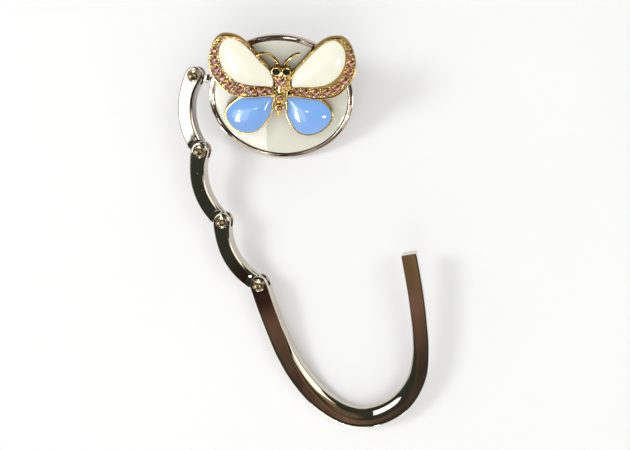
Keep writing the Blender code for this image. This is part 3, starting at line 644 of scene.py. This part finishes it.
def rubber_pad():
    """The pad, with its rounded edge and the ribs that grip the table."""
    radius, top, low, edge, groove = 0.0202, -0.0016, -0.0027, 0.0003, 0.0002
    profile = [(0, low)]
    for k in range(8):
        middle = 0.0035 + 0.0019 * k
        for away, z in ((-0.0005, low), (-0.00035, low + groove), (0.00035, low + groove), (0.0005, low)):
            profile.append((middle + away, z))
    profile += arc((radius - edge, low + edge), edge, -90, 0, 5)
    profile += [(radius, top), (0, top)]
    pad = thing("rubber_pad_ribbed", turned_on_axis(profile, 120), DISC)
    finished(pad, "disc", ["rubber_pad"], rubber, 30)


# Butterfly
def wing_outline(shares, side):
    if shares in (UPPER_WING, UPPER_CELL):
        points = [(x + WING_SHIFT, y) for x, y in scaled(shares, REACH, side)]
    else:
        points = scaled(shares, REACH, side, SLANT)
    return anticlockwise(smooth_loop(points, 7))


def rounded_plate(outline, low, high, edge):
    """A wing's plate, with both of its edges rounded."""
    rounding = arc((0, low + edge), edge, -90, 0, 4) + arc((0, high - edge), edge, 0, 90, 4)
    levels = [[(x, y, up) for x, y in inset(outline, edge - out)] for out, up in rounding]
    return thing("helper_wing", rings_solid(levels), BUTTERFLY)


def body_place(share):
    """A place on the body's middle line, which leans with the lower wings."""
    return SLANT * share * REACH, share * REACH


def body():
    """The body's swelling form, with a waist between its segments."""
    rings = []
    for along, half in smooth_path(BODY_RINGS, 4):
        x, y = body_place(along)
        high = 0.0015 * min(1, sqrt(max(half, 0.01) / 0.11))
        across = half * REACH
        rings.append([(x + across * cos(t), y, BODY_MIDDLE + high * sin(t)) for t in round_turns(28)])
    return thing("butterfly_gold", rings_solid(rings), BUTTERFLY)


def antenna(shares):
    """A feeler that rises from the body and thickens at its tip."""
    flat = smooth_path(scaled(shares, REACH), 6)
    rise, last = UPPER_TOP + 0.0002 - BODY_MIDDLE, len(flat) - 1
    heights = [BODY_MIDDLE + rise * min(1, 2 * i / len(flat)) for i in range(len(flat))]
    path = [Vector((*spot, height)) for spot, height in zip(flat, heights)]
    rings = []
    for i, point in enumerate(path):
        along = (path[min(i + 1, last)] - path[max(i - 1, 0)]).normalized()
        side = Vector((-along.y, along.x, 0)).normalized()
        up = along.cross(side)
        radius = 0.00048 + 0.00006 * max(0, (i / last - 0.8) / 0.2)
        rings.append([point + radius * (cos(t) * side + sin(t) * up) for t in round_turns(12)])
    return thing("helper_antenna", rings_solid(rings), BUTTERFLY)


def stone_places():
    """Every stone as (CAD node, x, y, diameter, height of its setting's top)."""
    places = []
    for word, side in SIDES:
        for number, (x, y, size) in enumerate(BAND_STONES, 1):
            spot = (side * x * REACH + WING_SHIFT, y * REACH)
            places.append((f"wing_stone_{word}_{number}", *spot, size * BAND_STONE, UPPER_TOP))
    for word, side in SIDES:
        places.append((f"eye_stone_{word}", side * 0.071 * REACH, 0.168 * REACH, EYE_STONE, COLLET_TOP))
    places.append(("thorax_stone", 0, 0, THORAX_STONE, COLLET_TOP))
    for number, share in enumerate((-0.262, -0.42), 1):
        places.append((f"abdomen_stone_{number}", *body_place(share), ABDOMEN_STONE, COLLET_TOP))
    return places


def collet(x, y, diameter):
    """The raised setting of one of the body's stones."""
    radius, edge = diameter / 2 + 0.00034, 0.0002
    profile = [(radius, BODY_MIDDLE), *arc((radius - edge, COLLET_TOP - edge), edge, 0, 90, 4)]
    return thing("helper_collet", turned(profile, 28, (x, y)), BUTTERFLY)


def channel(side, low, high, grow):
    """The band that holds a wing's stones, between the outer rim and the rim of the cell, as a solid."""
    outer = inset(wing_outline(UPPER_WING, side), 0.00034 - grow)
    band = prism("helper_band", outer, low, high, BUTTERFLY)
    inner = inset(wing_outline(UPPER_CELL, side), grow - 0.0004)
    under, over = low - OVERRUN, high + OVERRUN
    island = prism("helper_island", inner, under, over, BUTTERFLY)
    near, far = sorted((-side * REACH * 0.3, side * REACH * (0.14 - 20 * grow)))
    return cut(band, island, block((near, -REACH, under), (far, REACH, over), BUTTERFLY))


def channel_floor(word, side):
    """The floor of the band, between the stones, dark with painted shade and flecked with painted glints.
    """
    made = channel(side, UPPER_TOP - 0.0004, UPPER_TOP - 0.00026, 0.00004)
    made.name = f"wing_band_{word}"
    finished(made, "disc", [], band_gold_painted_light, 40)


def collars():
    """The low walls round the band's stones."""
    made = bmesh.new()
    for _, x, y, diameter, top in stone_places():
        if top == UPPER_TOP:
            radius = diameter / 2 + 0.00013
            profile = ((radius, top - 0.0006), (radius, top - 0.0002), (radius - 0.00006, top - 0.00013))
            turned(profile, 20, (x, y), made)
    return thing("helper_collars", made, BUTTERFLY)


def butterfly_casting():
    """The gold casting with its cells and stone seats, as one mesh."""
    gold_body = body()
    added, cutters = [], []
    for side in (-1, 1):
        for wing, cell, low, high, edge in WINGS:
            added.append(rounded_plate(wing_outline(wing, side), low, high, edge))
            outline = wing_outline(cell, side)
            cutters.append(prism("helper_cell", outline, high - 0.0007, high + OVERRUN, BUTTERFLY))
    seats = bmesh.new()
    for _, x, y, diameter, top in stone_places():
        radius = diameter / 2 + STONE_GAP
        turned(((radius, top - 0.0011), (radius, top + OVERRUN)), 20, (x, y), seats)
        if top > UPPER_TOP:
            added.append(collet(x, y, diameter))
    fuse(gold_body, *added, antenna(ANTENNA_LEFT), antenna(ANTENNA_RIGHT))
    cut(gold_body, *(channel(side, UPPER_TOP - 0.0003, UPPER_TOP + OVERRUN, 0) for side in (-1, 1)))
    fuse(gold_body, collars())
    post = drum(0.0012, -OVERRUN, 0.002, 24, BUTTERFLY, body_place(-0.2))
    cut(gold_body, thing("helper_seats", seats, BUTTERFLY), post, *cutters)
    finished(gold_body, "disc", ["butterfly_frame"], gold, 38)


def bead(made, x, y, z, radius, flat=0.75):
    """A small cast grain of metal."""
    place = Matrix.Translation((x, y, z)) @ Matrix.Diagonal((radius, radius, radius * flat, 1))
    bmesh.ops.create_icosphere(made, subdivisions=2, radius=1, matrix=place)


def grains(word, side):
    """The grains that hold a wing's stones, and the rows that run out past the last one."""
    made = bmesh.new()
    spots = [Vector((side * x * REACH + WING_SHIFT, y * REACH)) for x, y, _ in BAND_STONES]
    sizes = [size * BAND_STONE for _, _, size in BAND_STONES]
    for here, there, a, b in zip(spots, spots[1:], sizes, sizes[1:]):
        along = (there - here).normalized()
        across = Vector((-along.y, along.x))
        middle = here + along * (a / 2 + ((there - here).length - a / 2 - b / 2) / 2)
        for way in (-1, 1):
            for out, sunk, radius in ((0.155, 0, 0.00034), (0.25, 0.00008, 0.00024)):
                bead(made, *(middle + across * way * (a + b) * out), UPPER_TOP - sunk, radius)
    for k, (x, y) in enumerate(TIP_GRAINS):
        radius = 0.00036 - 0.00002 * k
        bead(made, side * x * REACH + WING_SHIFT, y * REACH, UPPER_TOP + 0.00004, radius)
    last = spots[-1]
    for x, y in ((-0.06, 0.045), (-0.075, 0.0), (-0.06, -0.045)):
        bead(made, last.x + side * x * REACH, last.y + y * REACH, UPPER_TOP + 0.00008, 0.0003)
    finished(thing(f"wing_grains_{word}", made, BUTTERFLY), "disc", [], bead_gold, 60)


def body_grains():
    """The grains round the stones of the body."""
    made = bmesh.new()
    for name, x, y, diameter, top in stone_places():
        if top == UPPER_TOP:
            continue
        count = {"thorax": 12, "abdomen": 8, "eye": 9}[name.split("_")[0]]
        ring = diameter / 2 + 0.00018
        for turn in round_turns(count, 0.5):
            bead(made, x + ring * cos(turn), y + ring * sin(turn), top - 0.00006, 0.00023, 0.8)
    spots = ((-0.1, 0.075), (-0.14, 0.05), (-0.165, 0.075), (-0.2, 0.045), (-0.34, 0.062), (-0.5, 0.03))
    for side in (-1, 1):
        for along, out in spots:
            x, y = body_place(along)
            bead(made, x + side * out * REACH, y, BODY_MIDDLE + 0.00125, 0.00034)
    bead(made, *body_place(-0.155), BODY_MIDDLE + 0.0014, 0.0004)
    bead(made, *body_place(-0.55), BODY_MIDDLE + 0.0009, 0.00036)
    finished(thing("body_grains", made, BUTTERFLY), "disc", [], bead_gold, 60)


def crown_stone(diameter, turn):
    """A round brilliant: table, stars, kites, upper halves, girdle and the cone behind."""
    made = bmesh.new()
    radius = diameter / 2
    girdle = 0.0001
    crown = 0.00042 * diameter / BAND_STONE

    def ring(share, count, shift, height):
        turns = [turn + t for t in round_turns(count, shift)]
        return [made.verts.new((radius * share * cos(t), radius * share * sin(t), height)) for t in turns]

    table = ring(0.55, 8, 0, girdle + crown)
    middle = ring(0.79, 8, 0.5, girdle + crown * 0.58)
    upper = ring(1, 16, 0, girdle)
    lower = ring(1, 16, 0, 0)
    point = made.verts.new((0, 0, -0.00085 * diameter / BAND_STONE))
    made.faces.new(table)
    for k in range(8):
        after = (k + 1) % 8
        made.faces.new((table[after], table[k], middle[k]))
        made.faces.new((table[k], middle[k - 1], upper[2 * k]))
        made.faces.new((table[k], upper[2 * k], middle[k]))
        made.faces.new((middle[k], upper[2 * k], upper[2 * k + 1]))
        made.faces.new((middle[k], upper[2 * k + 1], upper[(2 * k + 2) % 16]))
    for k in range(16):
        after = (k + 1) % 16
        made.faces.new((upper[k], lower[k], lower[after], upper[after]))
        made.faces.new((lower[after], lower[k], point))
    return made


def stones():
    """Each stone sits a little turned and tilted, as set stones do."""
    draw = random.Random(7)
    for name, x, y, diameter, top in stone_places():
        tilt = tilted(draw.uniform(-4, 4), draw.uniform(-4, 4))
        place = BUTTERFLY @ Matrix.Translation((x, y, top - 0.00004)) @ tilt
        made = thing(f"{name}_cut", crown_stone(diameter, draw.uniform(0, pi / 4)), place)
        look, slot = (black, "black_glass") if name.startswith("eye") else (rose, "rose_glass")
        made.data.materials.append(look)
        made.data.shade_flat()
        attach(made, "disc")
        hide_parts(name)


def depth_inside(x, y, outline):
    """How far a point lies inside an outline, evened out so that no ridge shows."""
    total = 0
    for (x0, y0), (x1, y1) in zip(outline, outline[1:] + outline[:1]):
        away = max(hypot((x0 + x1) / 2 - x, (y0 + y1) / 2 - y), 0.00005)
        total += hypot(x1 - x0, y1 - y0) / away**3
    return sqrt(2 / total)


def wing_enamel(part, word, side, shares, top, rise, look):
    """Enamel that fills its cell and swells above the rim."""
    outline = inset(wing_outline(shares, side), 0.00004)
    middle = Vector(sum(values) / len(outline) for values in zip(*outline))
    rings = [[(x, y, top - 0.00065) for x, y in outline], [(x, y, top - 0.00012) for x, y in outline]]
    most = depth_inside(*middle, outline)
    for s in (0.985, 0.95, 0.9, 0.83, 0.75, 0.66, 0.56, 0.45, 0.34, 0.22, 0.11, 0.03):
        ring = []
        for point in outline:
            x, y = middle.lerp(Vector(point), s)
            depth = min(1.1, depth_inside(x, y, outline) / most)
            ring.append((x, y, top - 0.00006 + rise * depth * (1.3 - 0.3 * depth)))
        rings.append(ring)
    made = thing(f"enamel_{part}_{word}_poured", rings_solid(rings), BUTTERFLY)
    finished(made, "disc", [f"enamel_{part}_{word}"], look, 50)


# Chain
def pin_hole(place, spot=(0, 0)):
    return drum(0.001, -PAST_LINK, PAST_LINK, 32, place, spot)


def fork_cutters(place):
    """The fork's slot, the pin's hole, and the seats of the pin's head and tail."""
    slot_half, floor = TONGUE_HALF + 0.0003, LINK_HALF - 0.0004
    slot = drum(SHOULDER, -slot_half, slot_half, 56, place)
    head = drum(PIN_HEAD + 0.00012, floor, PAST_LINK, 48, place)
    return slot, pin_hole(place), head, drum(0.0015, -PAST_LINK, -floor, 48, place)


def ear_ring(place):
    """The thin lip round the seat of a pin's head."""
    profile = arc((PIN_HEAD + 0.00025, LINK_HALF - 0.00003), 0.00012, 0, 345, 23)
    return thing("helper_ring", turned(profile, 64, closed=True), place)


def link_centre(share):
    """A place of (x, y, heading) on the link's curved middle line."""
    radius = (PITCH**2 / 4 + SAGITTA**2) / (2 * SAGITTA)
    half_turn = 2 * atan2(2 * SAGITTA, PITCH)
    turn = half_turn * (2 * share - 1)
    across, along = radius * cos(turn), radius * sin(turn)
    return radius - SAGITTA - across, -PITCH / 2 - along, atan2(-across, along)


def link_stations():
    corners = (0.0009, 0.0004)
    stations = round_end(*link_centre(0), EAR, corners, 12, 1)
    for share, ear_share in EAR_SHARES:
        half = LINK_WIDTH + (EAR - LINK_WIDTH) * ear_share
        stations.append((*link_centre(share), half, *corners))
    for step in range(12, 34):
        stations.append((*link_centre(step / 36), LINK_WIDTH, *corners))
    stations.append((*link_centre(0.955), LINK_WIDTH, *corners))
    return stations


def link_tongue(place):
    x, y, _ = link_centre(1 - 0.006 / PITCH)
    end = (0, -PITCH)
    aim = atan2(end[1] - y, end[0] - x)
    corners = (0.0003, 0.0003)
    stations = [(x, y, aim, TONGUE, *corners), (*end, aim, TONGUE, *corners)]
    stations += round_end(*end, aim, TONGUE, corners, 10, -1)
    return thing("helper_tongue", bar(stations, TONGUE_HALF, 3), place)


def shoulder_cutter(place):
    """What the next link's ear clears: a drum whose ends flare."""
    out, down = 0.001, 0.0007
    wide, deep = SHOULDER + out + out * OVERRUN / down, LINK_HALF - down
    profile = ((wide, -PAST_LINK), (SHOULDER, -deep), (SHOULDER, deep), (wide, PAST_LINK))
    return thing("helper_shoulder", turned(profile, 64, (0, -PITCH)), place)


def link(number):
    place = CHAIN[number - 1]
    made = thing(f"link_{number}_polished", bar(link_stations(), LINK_HALF, 6), place)
    cut(made, shoulder_cutter(place))
    fuse(made, link_tongue(place))
    cut(made, *fork_cutters(place), pin_hole(place, (0, -PITCH)))
    fuse(made, ear_ring(place))
    finished(made, f"link_{number}", [f"link_{number}"], chrome, 30, 0.00007)


def pin(number):
    """A pin: a plain tail, and a head with a bright lip round a bowl."""
    floor, top = LINK_HALF - 0.00038, LINK_HALF + 0.00015
    rim, lip = PIN_HEAD - 0.00005, 0.00016
    tail, shank, steep = 0.0013, 0.0008, 27
    profile = [(tail - 0.00012, -LINK_HALF), (tail, -LINK_HALF + 0.00012), (tail, -floor), (shank, -floor)]
    profile += [(shank, floor), (rim, floor), (rim, top - lip)]
    profile += arc((rim - lip, top - lip), lip, 10, 140, 8)
    curve = (rim - 2 * lip) / sin(radians(steep))
    turns = [radians(steep - 21 * k / 9) for k in range(10)]
    profile += [(curve * sin(t), top - 0.0003 - curve * (cos(t) - cos(turns[0]))) for t in turns]
    profile += [(0.00028, top - 0.00085), (0.0001, top - 0.00095)]
    made = thing(f"pin_{number}_riveted", turned(profile, 64), CHAIN[number - 1])
    body_name = f"link_{number}" if number < 4 else "hook"
    finished(made, body_name, [f"pin_{number}"], brass, 50)


def hook_section(half_width, crease_share, low_corner, rounding):
    """The hook's section as (across, up): crowned outside, and sloped inside from a crease."""
    slope = min(1, (1 - crease_share) / 1.3)
    steep = 17 * slope
    first, last = radians(7 * slope), radians(steep)
    facet_end = half_width - rounding * (1 - sin(last))
    crease = min(crease_share * half_width, facet_end - 0.00006)
    width = facet_end - crease
    drop = width * (tan(first) + tan(last)) / 2
    centre = LINK_HALF - drop - rounding * cos(last)
    points = arc((half_width - rounding, centre), rounding, 0, 90 - steep, 12)
    for k in (5, 4, 3, 2, 1, 0.15, 0):
        part = k / 6
        fall = width * part * (tan(first) + (tan(last) - tan(first)) * part / 2)
        points.append((crease + width * part, LINK_HALF - fall))
    crown, bow = radians(13.5), 0.002 + 0.003 * slope
    edge = 0.00006
    for k in range(10):
        turn = crown * k / 9
        across = edge - half_width + bow * (sin(crown) - sin(turn))
        points.append((across, LINK_HALF - bow * (1 - cos(turn))))
    brow = points[-1][1]
    for k in (1, 2, 3):
        turn = crown + (pi / 2 - crown) * k / 3
        across = edge - half_width - edge * (sin(turn) - sin(crown)) / (1 - sin(crown))
        points.append((across, brow - edge * (cos(crown) - cos(turn))))
    corner = min(low_corner, half_width * 0.98, LINK_HALF * 0.98)
    for start, side in ((180, -1), (270, 1)):
        centre = (side * (half_width - corner), corner - LINK_HALF)
        points += arc(centre, corner, start, start + 90, 8)
    return points


def hook_stations():
    """Stations of (x, y, heading, half width, crease share, lower corner, inner rounding)."""
    path = smooth_path(scaled(HOOK_PATH, HOOK_SPAN), 5)
    runs = [0]
    for a, b in zip(path, path[1:]):
        runs.append(runs[-1] + hypot(b[0] - a[0], b[1] - a[1]))
    turns = headings(path)
    ear = round_end(0, 0, turns[0], EAR, (), 12, 1)
    stations = [(*station, 1, 0.0003, 0.0003) for station in ear]
    for (x, y), run, heading in zip(path, runs, turns):
        share = run / runs[-1]
        half = max(HOOK_WIDTH * blend(HOOK_WIDTHS, share), EAR * (1 - run / PITCH))
        corner, rounding = half * blend(HOOK_CORNERS, share), blend(HOOK_ROUNDS, share) / 1000
        stations.append((x, y, heading, half, blend(HOOK_CREASES, share), corner, rounding))
    x, y, heading, half, *shape = stations[-1]
    for ahead, less in ((0.00013, 0.00004), (0.00024, 0.00013), (0.00031, 0.00024), (0.00035, 0.0004)):
        stations.append((x + ahead * cos(heading), y + ahead * sin(heading), heading, half - less, *shape))
    return stations


def hook():
    place = CHAIN[3]
    stations = hook_stations()
    sections = [hook_section(*station[3:]) for station in stations]
    made = thing("hook_polished", swept([station[:3] for station in stations], sections), place)
    cut(made, *fork_cutters(place))
    fuse(made, ear_ring(place))
    finished(made, "hook", ["hook"], chrome, 30, 0.00006)


def swivel_block():
    """The block between the first fork's ears, with its flange, neck and head."""
    barrel = ((0.0021, -0.0008), (0.0022, -0.0007), (0.0022, 0.0007), (0.0021, 0.0008))
    made = thing("swivel_block_polished", turned(barrel, 48), TABLE)
    heading = radians(NECK_HEADING)
    runs = (0.0008, 0.0022, 0.00366)
    arm = [(x * cos(heading), x * sin(heading), heading, 0.0012, 0.0003, 0.0003) for x in runs]
    flange_end = FLANGE_REACH + FLANGE_LENGTH
    flange, edge = 0.0015, 0.00015
    head = CENTRE_REACH - DISC_RADIUS + NECK_WALL + 0.0003
    profile = [(flange - edge, FLANGE_REACH), (flange, FLANGE_REACH + edge), (flange, flange_end - edge)]
    profile += [(flange - edge, flange_end), (0.0008, flange_end), (NECK_RADIUS, flange_end + 0.00012)]
    profile += [(NECK_RADIUS, head), (0.00095, head), (0.00095, head + 0.0008)]
    neck = turned(profile, 36)
    bmesh.ops.transform(neck, matrix=Matrix.Rotation(pi / 2, 4, "Y"), verts=neck.verts)
    fuse(made, thing("helper_arm", bar(arm, TONGUE_HALF, 3), TABLE), thing("helper_neck", neck, NECK))
    cut(made, pin_hole(TABLE))
    finished(made, "swivel_block", ["swivel_block"], chrome, 30)


# Studio
def glow(name, colour, other, scale):
    """Light from a surface, a little uneven as a lit diffuser or wall is."""
    made = bpy.data.materials.new(name)
    made.use_nodes = True
    tree = made.node_tree
    tree.nodes.clear()
    tint = ramp(tree, noise(tree, scale, 2), ((0.35, colour), (0.65, other)))
    shine = node(tree, "Emission", "Emission", Color=tint)
    feed(tree.nodes.new("ShaderNodeOutputMaterial"), Surface=shine)
    return made, shine.node


def only_mirrored(obj, look):
    """The object shows in reflections alone, and neither lights nor shades the scene."""
    obj.data.materials.append(look)
    for kind in ("camera", "diffuse", "transmission", "shadow", "volume_scatter"):
        setattr(obj, f"visible_{kind}", False)


def toward(azimuth, elevation):
    """The way to a place in the room, with angles in degrees."""
    turn, rise = radians(azimuth), radians(elevation)
    return Vector((cos(rise) * cos(turn), cos(rise) * sin(turn), sin(rise)))


def panel(name, azimuths, elevations, strength, tint=(1, 1, 1)):
    """A lit panel of the room between two azimuths and two elevations, in degrees."""
    made = bmesh.new()
    rows = []
    for i in range(9):
        up = elevations[0] + (elevations[1] - elevations[0]) * i / 8
        spans = (azimuths[0] + (azimuths[1] - azimuths[0]) * k / 8 for k in range(9))
        rows.append([made.verts.new(toward(azimuth, up) * PANEL_AWAY) for azimuth in spans])
    for low, high in zip(rows, rows[1:]):
        for k in range(8):
            made.faces.new((low[k], low[k + 1], high[k + 1], high[k]))
    piece = thing(name, made)
    look, light = glow(f"{name}_light", tint, [c * 0.94 for c in tint], 0.8)
    feed(light, Strength=strength)
    only_mirrored(piece, look)


ROOM_RADIUS = 5
PANEL_AWAY = 4
ROOM_PATCHES = (
    # azimuth, elevation, where it is full and where it ends in degrees, colour, other colour, noise scale
    (-108, 57, 8.5, 10.5, (0.24, 0.135, 0.1), (0.19, 0.105, 0.075), 5),
    (-125, 55, 1.4, 2.8, (0.03, 0.015, 0.01), (0.05, 0.024, 0.018), 6),
    (-116.5, 50.5, 2, 4.5, (0.07, 0.045, 0.03), (0.12, 0.078, 0.052), 7),
    (-110, 62.5, 2.6, 3.4, (0.26, 0.17, 0.085), (0.19, 0.12, 0.07), 7),
    (-98, 53, 3.5, 7, (0.05, 0.04, 0.028), (0.09, 0.06, 0.045), 6),
    (-115, 75, 5, 9, (0.2, 0.14, 0.085), (0.14, 0.095, 0.06), 7),
    (-55, 76, 6, 10, (0.5, 0.34, 0.17), (0.26, 0.16, 0.075), 9),
    (-97, 0, 14, 22, (0.5, 0.43, 0.36), (0.36, 0.3, 0.25), 6),
)


def room():
    """The dim room that polished metal mirrors: dark green walls, with patches of brown things on them."""
    made = bmesh.new()
    bmesh.ops.create_icosphere(made, subdivisions=5, radius=ROOM_RADIUS)
    bmesh.ops.delete(made, geom=[v for v in made.verts if v.co.z < -0.2], context="VERTS")
    dome = thing("studio_room", made)
    look, light = glow("room_walls", (0.034, 0.04, 0.03), (0.05, 0.057, 0.042), 0.35)
    tree = look.node_tree
    seen = light.inputs["Color"].links[0].from_socket
    place = node(tree, "TexCoord", "Object")
    for azimuth, elevation, near, far, colour, other, scale in ROOM_PATCHES:
        away = math_node(tree, "VectorMath", "DISTANCE", place, toward(azimuth, elevation) * ROOM_RADIUS)
        share = spread(tree, away, 1, 0, ROOM_RADIUS * radians(near), ROOM_RADIUS * radians(far))
        patch = ramp(tree, noise(tree, scale, 2, (1.4, 0.5, 1)), ((0.4, colour), (0.6, other)))
        seen = mixed(tree, share, seen, patch)
    feed(light, Color=seen)
    only_mirrored(dome, look)


def floor():
    made = bmesh.new()
    bmesh.ops.create_grid(made, x_segments=8, y_segments=8, size=4.5)
    table = thing("studio_floor", made)
    look, tree, shader = shader_of("pale_table", (0.95, 0.95, 0.95), 0.9, Specular_IOR_Level=0.1)
    tint = ramp(tree, noise(tree, 14, 3), ((0.3, (0.945, 0.945, 0.947)), (0.7, (0.96, 0.96, 0.958))))
    feed(shader, Base_Color=tint)
    table.data.materials.append(look)


def lamp(name, azimuth, elevation, size, energy, colour):
    """A soft box one metre off; polished surfaces mirror the room's panels in its stead."""
    data = bpy.data.lights.new(name, "AREA")
    data.shape = "DISK"
    data.size, data.energy, data.color = size, energy, colour
    away = toward(azimuth, elevation)
    turn = away.to_track_quat("Z", "Y").to_matrix().to_4x4()
    placed(name, data, Matrix.Translation(away) @ turn).visible_glossy = False


def sky():
    """Even light from all round, white where the camera or a reflection sees it."""
    world = bpy.data.worlds.new("studio_world")
    bpy.context.scene.world = world
    world.use_nodes = True
    tree = world.node_tree
    path = tree.nodes.new("ShaderNodeLightPath")
    seen = path.outputs["Is Camera Ray"]
    for kind in ("Is Glossy Ray", "Is Transmission Ray"):
        seen = math_node(tree, "Math", "MAXIMUM", seen, path.outputs[kind])
    strength = spread(tree, seen, 0.68, 1.0, 0, 1)
    feed(tree.nodes["Background"], Color=(1, 0.985, 0.965, 1), Strength=strength)


def studio():
    floor()
    room()
    panel("key_panel", (-172, -144.8), (50, 66), 2.4)
    panel("low_panel", (-120, -94.4), (5, 27), 3)
    panel("tall_panel", (-112, -106), (-2, 25), 45)
    panel("window_panel", (-8, 36), (14, 62), 1.9, (1, 0.98, 0.93))
    panel("skylight_panel", (-40, 36), (62, 75), 1.7, (1, 0.98, 0.93))
    panel("spark_panel_low", (-91.5, -88.5), (22.5, 25.5), 20)
    panel("spark_panel_side", (-72, -66), (7, 12), 30)
    lamp("key_box", 172, 52, 0.3, 2.5, (0.96, 0.98, 1))
    lamp("window_box", 20, 66, 0.4, 1.1, (0.94, 0.98, 1))
    lamp("front_box", -92, 60, 0.5, 1.0, (0.96, 0.98, 1))
    sky()
    bpy.context.scene.view_settings.view_transform = "Standard"


def camera():
    """The photo's camera, placed over the chain's plane."""
    eye = Vector((0.0838, 0.00742, 0.25811))
    target = Vector((0.03683, -0.04622, -0.0025))
    ahead = (target - eye).normalized()
    right = ahead.cross(Vector((0, 1, 0))).normalized()
    up = right.cross(ahead)
    turn = Matrix((right, up, -ahead)).transposed().to_4x4()
    data = bpy.data.cameras.new("photo_camera")
    data.sensor_width = 36
    data.lens = 49.14
    data.clip_start = 0.01
    place = TABLE @ Matrix.Translation(eye) @ turn
    bpy.context.scene.camera = placed("photo_camera", data, place)


disc_case()
enamel_face()
rubber_pad()
butterfly_casting()
for word, side in SIDES:
    channel_floor(word, side)
    grains(word, side)
    wing_enamel("upper", word, side, UPPER_CELL, UPPER_TOP, 0.0009, wing_cream)
    wing_enamel("lower", word, side, LOWER_CELL, LOWER_TOP, 0.00115, blue)
body_grains()
stones()
post = frame["nodes"]["butterfly_post"]
post.data.materials.clear()
post.data.materials.append(gold)
swivel_block()
for number in (1, 2, 3):
    link(number)
for number in (1, 2, 3, 4):
    pin(number)
hook()
studio()
camera()
